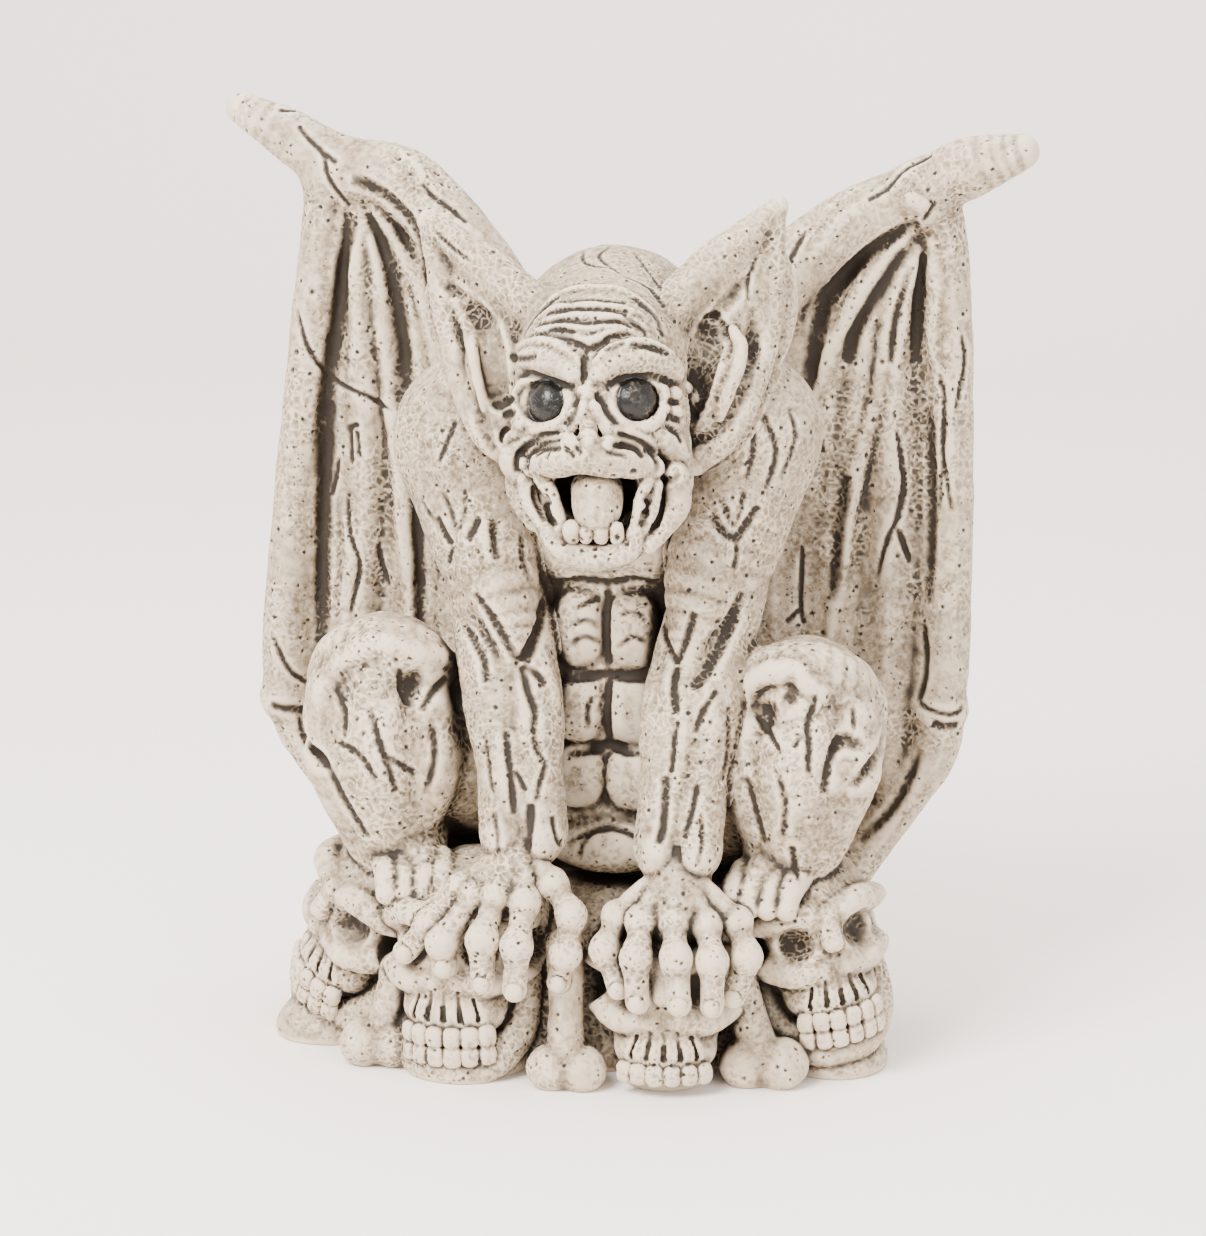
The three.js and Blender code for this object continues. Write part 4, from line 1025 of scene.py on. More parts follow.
WING_CRACKS = {
    LEFT: [
        [(297, 125), (309, 139), (323, 154), (327, 174), (335, 188), (351, 206)],
        [(323, 153), (337, 163)],
        [(278, 110), (297, 111), (320, 115)],
        [(297, 308), (304, 338), (315, 359), (338, 382), (373, 399), (394, 413)],
        [(423, 183), (432, 196), (450, 208), (467, 223)],
        [(346, 429), (359, 424)],
        [(356, 429), (359, 458)],
        [(347, 495), (350, 534), (360, 566), (350, 614)],
        [(377, 543), (389, 586)],
        [(339, 457), (332, 496)],
        [(350, 425), (352, 464)],
    ],
    RIGHT_SIDE: [
        [(867, 201), (888, 188), (905, 170), (932, 155)],
        [(806, 231), (794, 252), (784, 277)],
        [(936, 201), (923, 221)],
        [(896, 428), (902, 458), (903, 490), (891, 534), (882, 557)],
        [(895, 525), (909, 558)],
        [(938, 373), (944, 396), (943, 452), (939, 511)],
        [(962, 335), (965, 364), (955, 411)],
        [(897, 431), (900, 464), (904, 489), (897, 519), (887, 538), (877, 583)],
        [(899, 528), (910, 563)],
        [(803, 545), (801, 579), (801, 607), (804, 624)],
        [(800, 609), (786, 623)],
        [(811, 403), (820, 448)],
        [(945, 400), (943, 451), (952, 512)],
    ],
}
PINHOLES = {
    LEFT: [(409, 154), (312, 292), (296, 352), (292, 370), (443, 184), (436, 173)],
    RIGHT_SIDE: [(882, 362), (900, 367), (874, 420), (867, 456), (958, 209), (940, 383)],
}
WING_KNOBS = {
    LEFT: [(432, 213), (444, 218), (456, 225), (466, 231), (475, 238)],
    RIGHT_SIDE: [(917, 203), (911, 200), (923, 207)],
}


def web(clay, side, form):
    """The web between the back and the strut, hollowed between its ribs."""
    where, xyz = clay.window(np.array([-165, 20, 40]), np.array([165, 82, 385]))
    if where is None:
        return
    x, y, z = xyz
    out = x * side
    edge = np.array([*form["strut"][:-1], *form["tail"]])[::-1]
    edge_out = np.interp(z, edge[:, 2], np.abs(edge[:, 0]))
    edge_back = np.interp(z, edge[:, 2], edge[:, 1])
    bone = np.array(form["arm"])
    bone = bone[np.argsort(bone[:, 0] * side)]
    crest = np.interp(out, bone[:, 0] * side, bone[:, 2])
    across = np.clip((out - WEB_ROOT["x"]) / np.maximum(edge_out - WEB_ROOT["x"], 1), 0, 1)
    rib = np.minimum(across, 1 - across)
    for spread in RIB_SPREADS:
        rib = np.minimum(rib, np.abs(across - spread))
    hollow = WEB["hollow"] * np.minimum(1, rib / WEB["rib"])
    middle = WEB_ROOT["y"] + (edge_back - WEB_ROOT["y"]) * across + WEB["bulge"] * np.sin(np.pi * across)
    half = WEB["thickness"] / 2
    distance = np.maximum(middle - half + 0.5 * hollow - y, y - middle - half + 0.35 * hollow)
    distance = np.maximum(distance, (z - crest) * 0.8)
    distance = np.maximum(distance, np.maximum(out - edge_out, 10 - out))
    distance = np.maximum(distance, WEB_ROOT["low"] - z)
    clay.merge(where, distance.astype(np.float32), 6, False)


def wing(clay, side):
    form = WINGS[side]
    clay.limb(form["arm"], soft=5)
    clay.limb(form["claw"], soft=5)
    clay.limb(form["strut"], soft=4)
    clay.limb(form["tail"], soft=4)
    clay.lump(form["strut"][-1][:3], WING_ELBOW_RADII, soft=3)
    web(clay, side, form)
    # ribs fan down from the joint
    x, y, z, _ = form["strut"][0]
    for spread in RIB_SPREADS:
        low = (side * (WEB_ROOT["x"] + (RIB_FOOT[0] - WEB_ROOT["x"]) * spread), *RIB_FOOT[1:])
        high = (x * (0.8 + 0.15 * spread), y - 2, z - 12)
        bend = shifted(between(low, high, 0.62), side * (spread - 1) * RIB_BOW, 1, 0)
        clay.limb([(*high, RIB_RADIUS + 1), (*bend, RIB_RADIUS), (*low, RIB_RADIUS)], soft=4)


def wing_of(side):
    def form(clay, detail):
        wing(clay, side)
        if detail:
            for line, radius, lift in WING_RIDGES[side]:
                clay.lay([line], radius, lift, soft=2.5)
            for line, width, depth in WING_FURROWS[side]:
                clay.draw([line], width, depth)
            clay.knobs(WING_KNOBS[side], 4, 1.4, soft=2)
            clay.draw(WING_CRACKS[side], 1.9, 1.9)
            clay.knobs(PINHOLES[side], 1.2, 1.3, soft=0.4, cut=True)
    return form


# Pile: where each skull sits, how it is turned, its scale, and which rows of teeth show

SKULLS = [
    {"place": (-92, -26, 62), "turn": (0, 22, -52), "size": 1, "teeth": True, "jaw": True},
    {"place": (-53, -50, 57), "turn": (0, -2, -10), "size": 1.04, "teeth": True, "jaw": True},
    {"place": (34, -57, 45), "turn": (0, 0, 4), "size": 1, "teeth": True, "jaw": False},
    {"place": (90, -33, 62), "turn": (0, -9, 27), "size": 0.96, "teeth": True, "jaw": True},
    {"place": (-66, 40, 40), "turn": (0, 6, 162), "size": 0.95, "teeth": False, "jaw": False},
    {"place": (6, 46, 37), "turn": (0, -4, 184), "size": 0.95, "teeth": False, "jaw": False},
    {"place": (76, 36, 40), "turn": (0, 0, 208), "size": 0.95, "teeth": False, "jaw": False},
]
BONES = [
    ((-8, -70, 58), (-6, -82, 8), 8.5),
    ((62, -60, 46), (76, -67, 9), 9.5),
    ((-82, -56, 40), (-90, -64, 9), 8.5),
    ((-98, 8, 50), (-104, 30, 9), 9),
    ((92, 12, 50), (96, 34, 9), 9),
]
MOUND = [
    ((-4, 6, 14), (110, 70, 60)),
    ((-4, -14, 40), (66, 40, 36)),
    ((-120, -28, 4), (22, 18, 16)),
    ((-54, -58, 2), (28, 24, 14)),
    ((34, -62, 4), (20, 22, 14)),
    ((104, -36, 4), (22, 24, 14)),
]

# A skull facing -Y, with the middle of its brain case at the origin
BRAIN_CASE = ((0, 6, 5), (32, 36, 28))
SKULL_FACE = [((0, -13, -10), (26, 19, 22)), ((0, -19, -27), (21.5, 16, 13))]
SKULL_BROW = [(2, -27, 10, 5), (16, -24.5, 14, 6), (29, -11, 8, 6)]
CHEEKBONE = [(6, -28, -13, 5), (18, -25, -13, 6), (28, -11, -9, 6.5), (30, 4, -6, 5)]
SKULL_SOCKET = ((17, -34, 1), (11, 15, 9.5))
NOSE_BONE = [(0, -28, 10, 5), (0, -33, 0, 4.5)]
NOSE_HOLE = [(0, -37, -6, 3.5), (0, -38, -12, 5.5)]
SKULL_JAW = [
    (-26, -2, -18, 6), (-24, -12, -38, 7.5), (-13, -24, -49, 8), (0, -28, -51, 8),
    (13, -24, -49, 8), (24, -12, -38, 7.5), (26, -2, -18, 6),
]
TEETH = {"count": 6, "pitch": 17, "back": -13, "width": 24, "depth": 21.5, "radii": (3.7, 3.4, 4.5)}
UPPER_TEETH, LOWER_TEETH_LEVEL = -35, -43
ROOT_SLOTS = {"turns": (-38, -19, 0, 19, 38), "high": -17, "low": -28, "width": 22, "depth": 19, "radius": 1.5}
TEMPLE = ((33, -8, -2), (9, 14, 9))


def teeth(clay, level):
    count, pitch = TEETH["count"], TEETH["pitch"]
    for i in range(count):
        turn = (i - (count - 1) / 2) * pitch
        angle = math.radians(turn)
        centre = (TEETH["width"] * math.sin(angle), TEETH["back"] - TEETH["depth"] * math.cos(angle), level)
        clay.lump(centre, TEETH["radii"], (0, 0, turn), soft=0.4, square=3)


def root_slots(clay):
    """Upright slots in the upper jaw, over the gaps between the teeth."""
    for turn in ROOT_SLOTS["turns"]:
        angle = math.radians(turn)
        x, y = ROOT_SLOTS["width"] * math.sin(angle), TEETH["back"] - ROOT_SLOTS["depth"] * math.cos(angle) - 1
        ends = [(x * 0.8, y, ROOT_SLOTS["high"], 0.8), (x, y - 1, ROOT_SLOTS["low"], ROOT_SLOTS["radius"])]
        clay.limb(ends, soft=0.8, cut=True)


def skull(clay, form):
    clay.place(form["place"], form["turn"], form["size"])
    clay.lump(*BRAIN_CASE, soft=1)
    for centre, radii in SKULL_FACE:
        clay.lump(centre, radii, soft=5)
    for side in SIDES:
        clay.limb(on_side(side, SKULL_BROW), soft=3)
        clay.limb(on_side(side, CHEEKBONE), soft=2.5)
        centre, radii = TEMPLE
        clay.lump((side * centre[0], *centre[1:]), radii, soft=3, cut=True)
        centre, radii = SKULL_SOCKET
        clay.lump((side * centre[0], *centre[1:]), radii, soft=1.5, cut=True)
    clay.limb(NOSE_BONE, soft=2)
    clay.limb(NOSE_HOLE, soft=1, cut=True)
    if form["teeth"]:
        root_slots(clay)
        teeth(clay, UPPER_TEETH)
    if form["jaw"]:
        clay.limb(SKULL_JAW, soft=1.5)
        teeth(clay, LOWER_TEETH_LEVEL)
    clay.place()


def long_bone(clay, start, end, radius):
    clay.limb([(*start, radius), (*between(start, end, 0.5), radius * 0.85), (*end, radius)], soft=1)
    for side in SIDES:
        clay.lump(shifted(end, side * radius * 0.75, 0, 0), (radius * 1.25, radius * 1.25, radius * 1.2), soft=2)


def pile(clay, _):
    for centre, radii in MOUND:
        clay.lump(centre, radii, soft=4)
    for form in SKULLS:
        one = clay.like()
        skull(one, form)
        clay.field = blended(clay.field, one.field, 1)
    for bone in BONES:
        long_bone(clay, *bone)


# The groups of forms, and how softly each joins what came before it, in millimetres
GROUPS = {
    "body": (body, 0),
    "wing_left": (wing_of(LEFT), 8),
    "wing_right": (wing_of(RIGHT_SIDE), 8),
    "arms": (arms, 5),
    "head": (head, 6),
    "pile": (pile, 1.5),
    "hands": (hands, 1),
}

# The pieces in the order they claim the surface: their groups, the box of space they are made in,
# the grid's cell and the number of triangles. Millimetres.
PIECES = [
    ("gargoyle_head", ("head",), (-86, -106, 222), (88, 36, 376), 0.66, 194_000),
    ("gargoyle_arms", ("arms", "hands"), (-98, -112, 38), (100, 22, 306), 0.8, 165_000),
    ("gargoyle_wing_left", ("wing_left",), (-182, 10, 34), (-14, 84, 404), 0.85, 120_000),
    ("gargoyle_wing_right", ("wing_right",), (14, 10, 34), (184, 84, 404), 0.85, 120_000),
    ("skull_pile", ("pile",), (-152, -114, -3), (138, 84, 114), 0.75, 196_000),
    ("gargoyle_body", ("body",), (-130, -84, 56), (132, 86, 330), 0.95, 150_000),
]
# Where two pieces meet, the one that claims the surface reaches this far past its own forms,
# the other stops this near to them, and each sinks a little below the other's skin.
CLAIM, GIVE, MEET, SINK = 4.0, 1.5, 2.75, 0.5


def joined(clay, own=()):
    """Joins all groups on this clay's grid, the own ones with their strokes, and returns each group's clay."""
    held = {}
    for name, (form, soft) in GROUPS.items():
        held[name] = clay.like()
        form(held[name], name in own)
        clay.field = blended(clay.field, held[name].field, soft)
    height = clay.low[2] + clay.cell * np.arange(clay.shape[2], dtype=np.float32)
    clay.field = np.maximum(clay.field, -height[None, None, :])
    return held


def sink(distance, start, end):
    return np.float32(SINK) * np.clip((distance - np.float32(start)) / np.float32(end - start), 0, 1)


def piece_clay(groups, low, high, cell):
    """The clay of one piece: the figure's surface where the piece claims it."""
    clay = Clay(low, high, cell)
    held = joined(clay, groups)
    own = np.minimum.reduce([held[name].field for name in groups])
    whole = clay.field
    field = np.maximum(whole + sink(own, MEET - 0.3, CLAIM), own - np.float32(CLAIM))
    for _, earlier, *_ in PIECES:
        if earlier == groups:
            break
        others = np.minimum.reduce([held[name].field for name in earlier])
        field = np.maximum(field + sink(others, MEET + 0.3, GIVE), np.float32(GIVE) - others)
    for axis in range(3):
        for end in (0, -1):
            rim = [slice(None)] * 3
            rim[axis] = end
            field[tuple(rim)] = np.maximum(field[tuple(rim)], np.float32(1))
    inks = [held[name].ink for name in groups if held[name].ink is not None]
    clay.field = field
    clay.ink = np.maximum.reduce(inks) if inks else None
    return clay


# From clay to a mesh

def surface(clay):
    """Vertices and quads: a vertex in each cell that the surface crosses, a quad round each crossed edge."""
    field = clay.field
    inside = field < 0
    count = np.zeros([n - 1 for n in field.shape], np.int8)
    for corner in np.ndindex(2, 2, 2):
        count += inside[tuple(slice(c, n - 1 + c) for c, n in zip(corner, field.shape))]
    cells = np.argwhere((count > 0) & (count < 8)).astype(np.int32)
    number = np.full(count.shape, -1, np.int32)
    number[tuple(cells.T)] = np.arange(len(cells), dtype=np.int32)
    total = np.zeros((len(cells), 3), np.float32)
    crossings = np.zeros((len(cells), 1), np.float32)
    for axis in range(3):
        step = np.eye(3, dtype=np.int32)[axis]
        for corner in np.ndindex(2, 2, 2):
            if corner[axis]:
                continue
            start = cells + corner
            a = field[tuple(start.T)]
            b = field[tuple((start + step).T)]
            crossed = (a < 0) != (b < 0)
            share = np.where(crossed, a / np.where(crossed, a - b, 1), 0)
            place = np.array(corner, np.float32) + share[:, None] * step
            total += place * crossed[:, None]
            crossings += crossed[:, None]
    points = (cells + total / crossings) * clay.cell + clay.low
    quads = []
    for axis in range(3):
        u, v = np.eye(3, dtype=np.int32)[[(axis + 1) % 3, (axis + 2) % 3]]
        near = [slice(1, n - 1) for n in field.shape]
        near[axis] = slice(0, field.shape[axis] - 1)
        far = list(near)
        far[axis] = slice(1, field.shape[axis])
        first, second = inside[tuple(near)], inside[tuple(far)]
        edges = np.argwhere(first != second)
        outward = first[tuple(edges.T)]
        edges = edges + (np.arange(3) != axis)
        ring = np.stack([number[tuple((edges - back).T)] for back in (u + v, v, 0 * u, u)], 1)
        ring[~outward] = ring[~outward][:, ::-1]
        quads.append(ring)
    return points.astype(np.float32), np.concatenate(quads)


def gathered(count, at, values):
    """The sum at each vertex of the values that belong to it."""
    return np.stack([np.bincount(at, weights=column, minlength=count) for column in values.T], 1)


def outward(points, quads):
    """The normal at each vertex."""
    face = np.cross(points[quads[:, 2]] - points[quads[:, 0]], points[quads[:, 3]] - points[quads[:, 1]])
    total = gathered(len(points), quads.ravel(), np.repeat(face, 4, axis=0))
    return (total / np.maximum(np.linalg.norm(total, axis=1, keepdims=True), 1e-9)).astype(np.float32)


def smoothings(points, quads, stages):
    """The points after so many rounds of drawing each towards its neighbours."""
    edges = np.concatenate([quads[:, [i, (i + 1) % 4]] for i in range(4)])
    start, end = edges[:, 0], edges[:, 1]
    count = len(points)
    degree = np.bincount(start, minlength=count)[:, None]
    degree = degree + np.bincount(end, minlength=count)[:, None]
    place = points.astype(float)
    results = []
    for stage in range(1, max(stages) + 1):
        total = gathered(count, start, place[end]) + gathered(count, end, place[start])
        place = 0.4 * place + 0.6 * total / np.maximum(degree, 1)
        if stage in stages:
            results.append(place)
    return results


# Relief of the stone's skin

SEED = 41
NET_CELL, NET_HEIGHT = 3.4, 0.3
PIT_CELL, PIT_RADIUS, PIT_DEPTH = 4.6, 0.85, 0.55
LUMPS = ((11, 0.45), (4.5, 0.22))


def hashed(cells, salt):
    """A repeatable random number from 0 to 1 for each whole-numbered cell."""
    x, y, z = (cells[:, i].astype(np.int64) for i in range(3))
    mixed = (x * 73856093) ^ (y * 19349663) ^ (z * 83492791) ^ ((SEED + salt) * 2654435761)
    mixed = (mixed ^ (mixed >> 13)) * 1274126177
    return ((mixed ^ (mixed >> 16)) & 0xFFFF) / 65535


def cloud(points, size, salt=0):
    """Smooth noise from -1 to 1."""
    place = points / size
    cell = np.floor(place).astype(np.int64)
    share = place - cell
    share = share * share * (3 - 2 * share)
    total = 0
    for corner in np.ndindex(2, 2, 2):
        weight = np.prod(np.where(corner, share, 1 - share), axis=1)
        total = total + weight * hashed(cell + corner, salt)
    return 2 * total - 1


def nearest_seeds(points, size, salt):
    """The distances to the nearest and the next of the random seeds, one to a cell, and the nearest's chance."""
    place = points / size
    cell = np.floor(place).astype(np.int64)
    near = np.full(len(points), 9.0)
    following = near.copy()
    chance = np.zeros(len(points))
    for step in np.ndindex(3, 3, 3):
        other = cell + np.array(step) - 1
        seed = other + np.stack([hashed(other, salt + i) for i in range(3)], 1)
        distance = np.linalg.norm(place - seed, axis=1)
        closer = distance < near
        following = np.where(closer, near, np.minimum(following, distance))
        chance = np.where(closer, hashed(other, salt + 3), chance)
        near = np.where(closer, distance, near)
    return near * size, following * size, chance


def relief(points):
    """Height of the skin over the smooth form, with a net of fine ridges, pits and soft lumps."""
    drift = np.stack([cloud(points, 5, 20 + i) for i in range(3)], 1)
    near, following, _ = nearest_seeds(points + 1.4 * drift, NET_CELL, 30)
    ridge = np.clip(1 - (following - near) / 0.9, 0, 1)
    strength = np.clip(0.6 + 0.8 * cloud(points, 16, 5), 0.1, 1)
    height = NET_HEIGHT * strength * ridge
    near, _, chance = nearest_seeds(points, PIT_CELL, 50)
    pit = np.clip(1 - near / (PIT_RADIUS * (0.5 + chance)), 0, 1) * (chance > 0.45)
    height -= PIT_DEPTH * np.sqrt(pit)
    for size, strength in LUMPS:
        height += strength * cloud(points, size, int(size))
    return height, pit


# Where the dark wash and the painted shade lie. The eyeballs are painted nearly black: their centres, radii and
# outward directions.

ROOM_CELL = 2.5
ROOM_REACHES = (4, 10)


def stained(points):
    """From 0 to 1: how far each vertex lies on a painted eyeball."""
    stain = np.zeros(len(points))
    for centre, radius, ahead in STAINS:
        offset = points - centre
        near = np.clip((radius + 0.5 - np.linalg.norm(offset, axis=1)) * 2, 0, 1)
        stain = np.maximum(stain, near * (offset @ ahead > 0))
    return stain


def running_mean(grid, half, axis):
    width = 2 * half + 1
    pad = [(half + 1, half) if i == axis else (0, 0) for i in range(3)]
    total = np.cumsum(np.pad(grid, pad, mode="edge"), axis=axis, dtype=np.float64)
    ahead, behind = [slice(None)] * 3, [slice(None)] * 3
    ahead[axis], behind[axis] = slice(width, None), slice(0, -width)
    return ((total[tuple(ahead)] - total[tuple(behind)]) / width).astype(np.float32)


def crowding():
    """How much stone lies round each place, at a short and at a long reach; the painted shade is laid where it
    crowds.
    """
    clay = Clay((-195, -130, -20), (195, 100, 418), ROOM_CELL)
    joined(clay)
    filled = np.clip(0.5 - clay.field / clay.cell, 0, 1)
    grids = []
    for reach in ROOM_REACHES:
        half = max(round(reach / ROOM_CELL), 1)
        grid = filled
        for _ in range(2):
            for axis in range(3):
                grid = running_mean(grid, half, axis)
        grids.append(grid)
    return clay, grids


def wash_shade_and_highlight(clay, points, normals, quads, pit, room):
    """From 0 to 1 at each vertex: how much dark wash is left in its hollows, with painted shade where much stone
    crowds round it, and how far it is rubbed bright, with a painted highlight on the ridges.
    """
    fine, middle, broad = (
        np.einsum("ij,ij->i", place - points, normals) for place in smoothings(points, quads, (3, 12, 40))
    )
    coarse, grids = room
    short, long = (
        sample(grid, (points + normals * reach - coarse.low) / coarse.cell)
        for grid, reach in zip(grids, ROOM_REACHES)
    )
    ink = sample(clay.ink, (points - clay.low) / clay.cell) if clay.ink is not None else 0
    hollow = 5.0 * fine + 1.5 * middle + 0.5 * broad
    # Painted shade: darker where much stone lies round the vertex, as between the arms and the body, added to the
    # dark wash in the fine hollows.
    wash_and_painted_shade = np.clip(hollow, 0, 1) * 0.75 + 1.3 * np.clip(short - 0.3, 0, 1) + 1.5 * np.clip(long - 0.32, 0, 1)
    wash_and_painted_shade = wash_and_painted_shade + 0.55 * ink + 0.8 * pit
    # Painted highlight: convex ridges made brighter, together with the wash rubbed off them.
    crest = np.clip(-2.4 * fine - 0.9 * middle - 0.4 * broad, 0, 1)
    return np.clip(wash_and_painted_shade, 0, 1), crest * (1 - np.clip(wash_and_painted_shade, 0, 1))


def triangles_of(points, quads):
    """Each quad as two triangles, cut along its shorter diagonal."""
    first = np.linalg.norm(points[quads[:, 0]] - points[quads[:, 2]], axis=1)
    second = np.linalg.norm(points[quads[:, 1]] - points[quads[:, 3]], axis=1)
    cuts = np.where((first <= second)[:, None], quads[:, [0, 1, 2, 0, 2, 3]], quads[:, [1, 2, 3, 1, 3, 0]])
    return cuts.reshape(-1, 3)


def mesh_of(name, points, faces, values):
    mesh = bpy.data.meshes.new(name)
    mesh.vertices.add(len(points))
    mesh.vertices.foreach_set("co", (points * MM).astype(np.float32).ravel())
    mesh.loops.add(faces.size)
    mesh.loops.foreach_set("vertex_index", faces.astype(np.int32).ravel())
    mesh.polygons.add(len(faces))
    mesh.polygons.foreach_set("loop_start", np.arange(0, faces.size, 3, dtype=np.int32))
    for key, value in values.items():
        mesh.attributes.new(key, "FLOAT", "POINT").data.foreach_set("value", value.astype(np.float32))
    mesh.update(calc_edges=True)
    return mesh


def thinned(piece, triangles):
    """Folds the flattest edges until so many triangles are left."""
    if len(piece.data.polygons) <= triangles:
        return
    fold = piece.modifiers.new("thin", "DECIMATE")
    fold.ratio = triangles / len(piece.data.polygons)
    evaluated = piece.evaluated_get(bpy.context.evaluated_depsgraph_get())
    full = piece.data
    piece.data = bpy.data.meshes.new_from_object(evaluated)
    piece.modifiers.clear()
    bpy.data.meshes.remove(full)


def make_piece(name, groups, low, high, cell, triangles, room, stone):
    clay = piece_clay(groups, low, high, cell)
    points, quads = surface(clay)
    height, pit = relief(points)
    height = height * np.clip(points[:, 2] / 3, 0, 1)
    points = points + (outward(points, quads) * height[:, None]).astype(np.float32)
    points[:, 2] = np.maximum(points[:, 2], 0)
    normals = outward(points, quads)
    wash_and_painted_shade, crest = wash_shade_and_highlight(clay, points, normals, quads, pit, room)
    stain = stained(points)
    # The wash attribute holds the dark wash with painted shade, and crest holds the rubbed-bright ridges with a
    # painted highlight.
    values = {"wash_and_painted_shade": np.maximum(wash_and_painted_shade, stain), "crest": crest * (1 - stain), "stain": stain}
    piece = bpy.data.objects.new(name, mesh_of(name, points, triangles_of(points, quads), values))
    bpy.context.scene.collection.objects.link(piece)
    thinned(piece, triangles)
    piece.data.name = name
    piece.data.shade_smooth()
    piece.data.materials.append(stone)
    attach(piece, "root")
    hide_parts("gargoyle_statue")
    return piece


# Antiqued cast stone: cream, with a dark wash left in the hollows, painted shade where the stone crowds together and
# a painted highlight on the ridges

CREAM, STONE, SHADE, WASH_AND_PAINTED_SHADE_BROWN, EYE_BLACK = (
    (0.62, 0.52, 0.39), (0.25, 0.185, 0.115), (0.13, 0.09, 0.05), (0.016, 0.010, 0.005), (0.007, 0.006, 0.005),
)


def shader_kit(material):
    tree = material.node_tree
    nodes, links = tree.nodes, tree.links

    def node(kind, **settings):
        made = nodes.new(kind)
        for key, value in settings.items():
            setattr(made, key, value)
        return made

    def feed(socket, value):
        if isinstance(value, bpy.types.NodeSocket):
            links.new(value, socket)
        else:
            socket.default_value = value

    def math_node(operation, a, b=0.0, clamp=False):
        made = node("ShaderNodeMath", operation=operation, use_clamp=clamp)
        feed(made.inputs[0], a)
        feed(made.inputs[1], b)
        return made.outputs[0]

    def mixed(factor, a, b):
        made = node("ShaderNodeMix", data_type="RGBA")
        feed(made.inputs["Factor"], factor)
        for key, value in (("A", a), ("B", b)):
            socket = [s for s in made.inputs if s.name == key and s.type == "RGBA"][0]
            feed(socket, value if isinstance(value, bpy.types.NodeSocket) else (*value, 1))
        return [s for s in made.outputs if s.type == "RGBA"][0]

    def ramp(value, low, high, out_low=0.0, out_high=1.0):
        made = node("ShaderNodeMapRange", interpolation_type="SMOOTHSTEP")
        for socket, item in zip(made.inputs, (value, low, high, out_low, out_high)):
            feed(socket, item)
        return made.outputs[0]

    return node, feed, math_node, mixed, ramp


def cast_stone():
    material = bpy.data.materials.new("cast_stone")
    material.use_nodes = True
    node, feed, math_node, mixed, ramp = shader_kit(material)
    shader = material.node_tree.nodes["Principled BSDF"]
    place = node("ShaderNodeTexCoord").outputs["Object"]

    def noise(scale, detail=3.0, distortion=0.0):
        made = node("ShaderNodeTexNoise")
        feed(made.inputs["Vector"], place)
        feed(made.inputs["Scale"], scale)
        feed(made.inputs["Detail"], detail)
        feed(made.inputs["Distortion"], distortion)
        return made.outputs["Fac"]

    def attribute(name):
        return node("ShaderNodeAttribute", attribute_name=name).outputs["Fac"]

    wash_and_painted_shade, crest, stain = attribute("wash_and_painted_shade"), attribute("crest"), attribute("stain")
    # broad and fine mottling
    broad, fine = noise(42), noise(420, 4)
    # worm-like light lines: where a drifting noise crosses its middle value
    worm = math_node("ABSOLUTE", math_node("SUBTRACT", noise(230, 1.5, 0.6), 0.5))
    worm = ramp(worm, 0.0, 0.035, 1.0, 0.0)
    worm = math_node("MULTIPLY", worm, ramp(noise(60, 2), 0.42, 0.62))
    # dark specks in the pinholes
    cells = node("ShaderNodeTexVoronoi", feature="F1")
    feed(cells.inputs["Vector"], place)
    feed(cells.inputs["Scale"], 330.0)
    speck = ramp(cells.outputs["Distance"], 0.12, 0.24, 1.0, 0.0)
    speck = math_node("MULTIPLY", speck, ramp(noise(75, 2), 0.5, 0.6))

    colour = mixed(ramp(broad, 0.35, 0.68), SHADE, STONE)
    colour = mixed(math_node("MULTIPLY", ramp(fine, 0.3, 0.75), 0.55), colour, CREAM)
    colour = mixed(math_node("MULTIPLY", worm, 0.5), colour, CREAM)
    # Ridges lightened: partly the wash rubbed off them, partly a painted highlight.
    colour = mixed(ramp(crest, 0.02, 0.7), colour, CREAM)
    # Dark wash in the hollows together with painted shade where the stone crowds together.
    dark = math_node("MULTIPLY", wash_and_painted_shade, ramp(fine, 0.2, 0.75, 0.85, 1.25))
    colour = mixed(ramp(dark, 0.05, 0.95), colour, WASH_AND_PAINTED_SHADE_BROWN)
    colour = mixed(math_node("MULTIPLY", speck, 0.75), colour, WASH_AND_PAINTED_SHADE_BROWN)
    colour = mixed(stain, colour, EYE_BLACK)
    feed(shader.inputs["Base Color"], colour)
    feed(shader.inputs["Roughness"], ramp(stain, 0, 1, 0.72, 0.25))
    feed(shader.inputs["Specular IOR Level"], 0.35)

    height = math_node("ADD", math_node("MULTIPLY", worm, 0.5), math_node("MULTIPLY", fine, 0.35))
    height = math_node("SUBTRACT", height, math_node("MULTIPLY", speck, 0.8))
    bump = node("ShaderNodeBump")
    feed(bump.inputs["Strength"], 0.5)
    feed(bump.inputs["Distance"], 0.0005)
    feed(bump.inputs["Height"], height)
    feed(shader.inputs["Normal"], bump.outputs["Normal"])
    return material


def backdrop_paper():
    material = bpy.data.materials.new("backdrop_paper")
    material.use_nodes = True
    node, feed, math_node, mixed, ramp = shader_kit(material)
    shader = material.node_tree.nodes["Principled BSDF"]
    place = node("ShaderNodeTexCoord").outputs["Object"]
    grain = node("ShaderNodeTexNoise")
    feed(grain.inputs["Vector"], place)
    feed(grain.inputs["Scale"], 3.0)
    feed(shader.inputs["Base Color"], mixed(grain.outputs["Fac"], PAPER_LOW, PAPER_HIGH))
    feed(shader.inputs["Roughness"], 0.9)
    return material


# Studio: a pale floor that curves up behind, soft light from the left front

PAPER_LOW, PAPER_HIGH = (0.86, 0.80, 0.765), (0.89, 0.835, 0.80)
FLOOR = {"half": 3.0, "front": -2.6, "back": 1.5, "bend": 0.7, "wall": 2.4, "steps": 16}


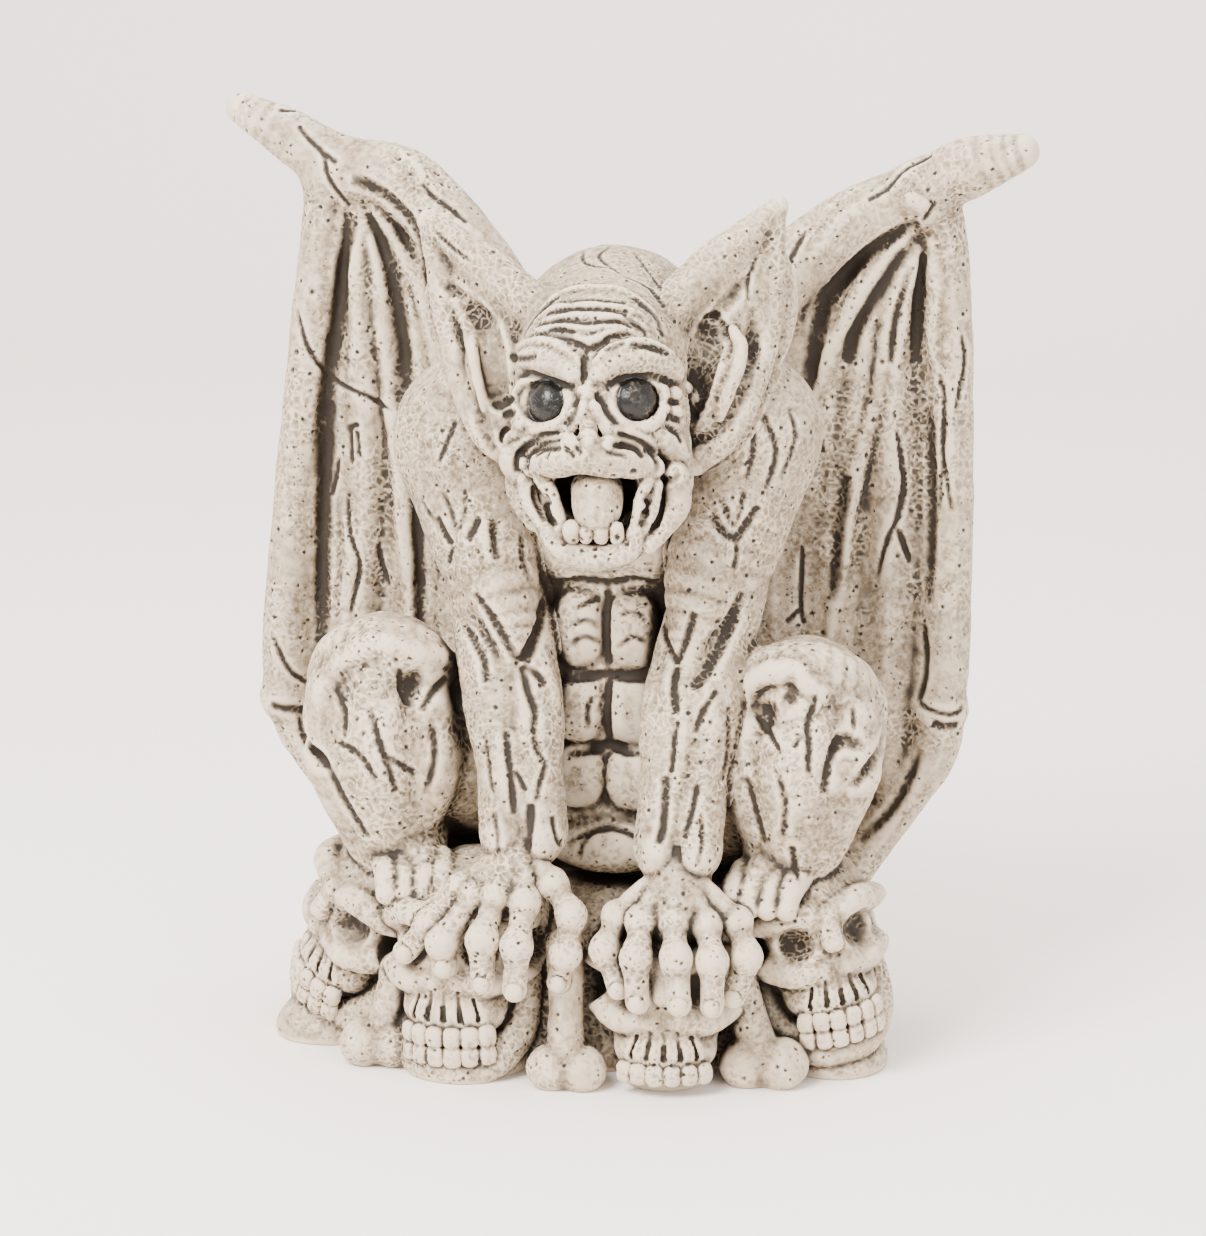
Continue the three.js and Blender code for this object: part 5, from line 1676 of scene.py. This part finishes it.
def backdrop():
    """A floor, a quarter bend and a wall, swept across the picture."""
    profile = [(FLOOR["front"], 0.0)]
    for step in range(FLOOR["steps"] + 1):
        angle = step / FLOOR["steps"] * math.pi / 2
        bend = FLOOR["bend"]
        profile.append((FLOOR["back"] + bend * math.sin(angle), bend * (1 - math.cos(angle))))
    profile.append((FLOOR["back"] + FLOOR["bend"], FLOOR["wall"]))
    points, faces = [], []
    for y, z in profile:
        points += [(-FLOOR["half"], y, z), (FLOOR["half"], y, z)]
    for i in range(len(profile) - 1):
        faces.append((2 * i, 2 * i + 1, 2 * i + 3, 2 * i + 2))
    mesh = bpy.data.meshes.new("studio_floor")
    mesh.from_pydata(points, [], faces)
    mesh.shade_smooth()
    mesh.materials.append(backdrop_paper())
    floor = bpy.data.objects.new("studio_floor", mesh)
    bpy.context.scene.collection.objects.link(floor)


def area_light(name, place, size, power, tint):
    light = bpy.data.lights.new(name, "AREA")
    light.shape = "SQUARE"
    light.size = size
    light.energy = power
    light.color = tint
    lamp = bpy.data.objects.new(name, light)
    lamp.location = place
    aim = Vector(AIM * MM) - Vector(place)
    lamp.rotation_euler = aim.to_track_quat("-Z", "Y").to_euler()
    bpy.context.scene.collection.objects.link(lamp)


def studio():
    backdrop()
    area_light("key_light", (-0.9, -1.3, 1.7), 1.1, 130, (1.0, 0.97, 0.93))
    area_light("fill_light", (1.5, -1.2, 0.9), 1.6, 22, (1.0, 0.98, 0.96))
    area_light("top_light", (0.1, 0.3, 2.2), 1.4, 60, (1.0, 0.98, 0.96))
    world = bpy.data.worlds.new("studio_world")
    world.use_nodes = True
    back = world.node_tree.nodes["Background"]
    back.inputs["Color"].default_value = (1.0, 0.965, 0.935, 1)
    back.inputs["Strength"].default_value = 1.7
    bpy.context.scene.world = world


def camera():
    lens = bpy.data.cameras.new("camera")
    lens.sensor_fit = "AUTO"
    lens.sensor_width = 36
    lens.lens = lens.sensor_width * DISTANCE / (max(PICTURE) * MM_PER_PIXEL)
    lens.clip_start = 0.1
    lens.clip_end = 20
    eye_place = bpy.data.objects.new("camera", lens)
    eye_place.location = Vector(EYE_POINT * MM)
    eye_place.rotation_euler = Vector(-BACK).to_track_quat("-Z", "Y").to_euler()
    bpy.context.scene.collection.objects.link(eye_place)
    bpy.context.scene.camera = eye_place


stone = cast_stone()
room = crowding()
for name, groups, low, high, cell, triangles in PIECES:
    make_piece(name, groups, low, high, cell * (1), triangles, room, stone)
studio()
camera()
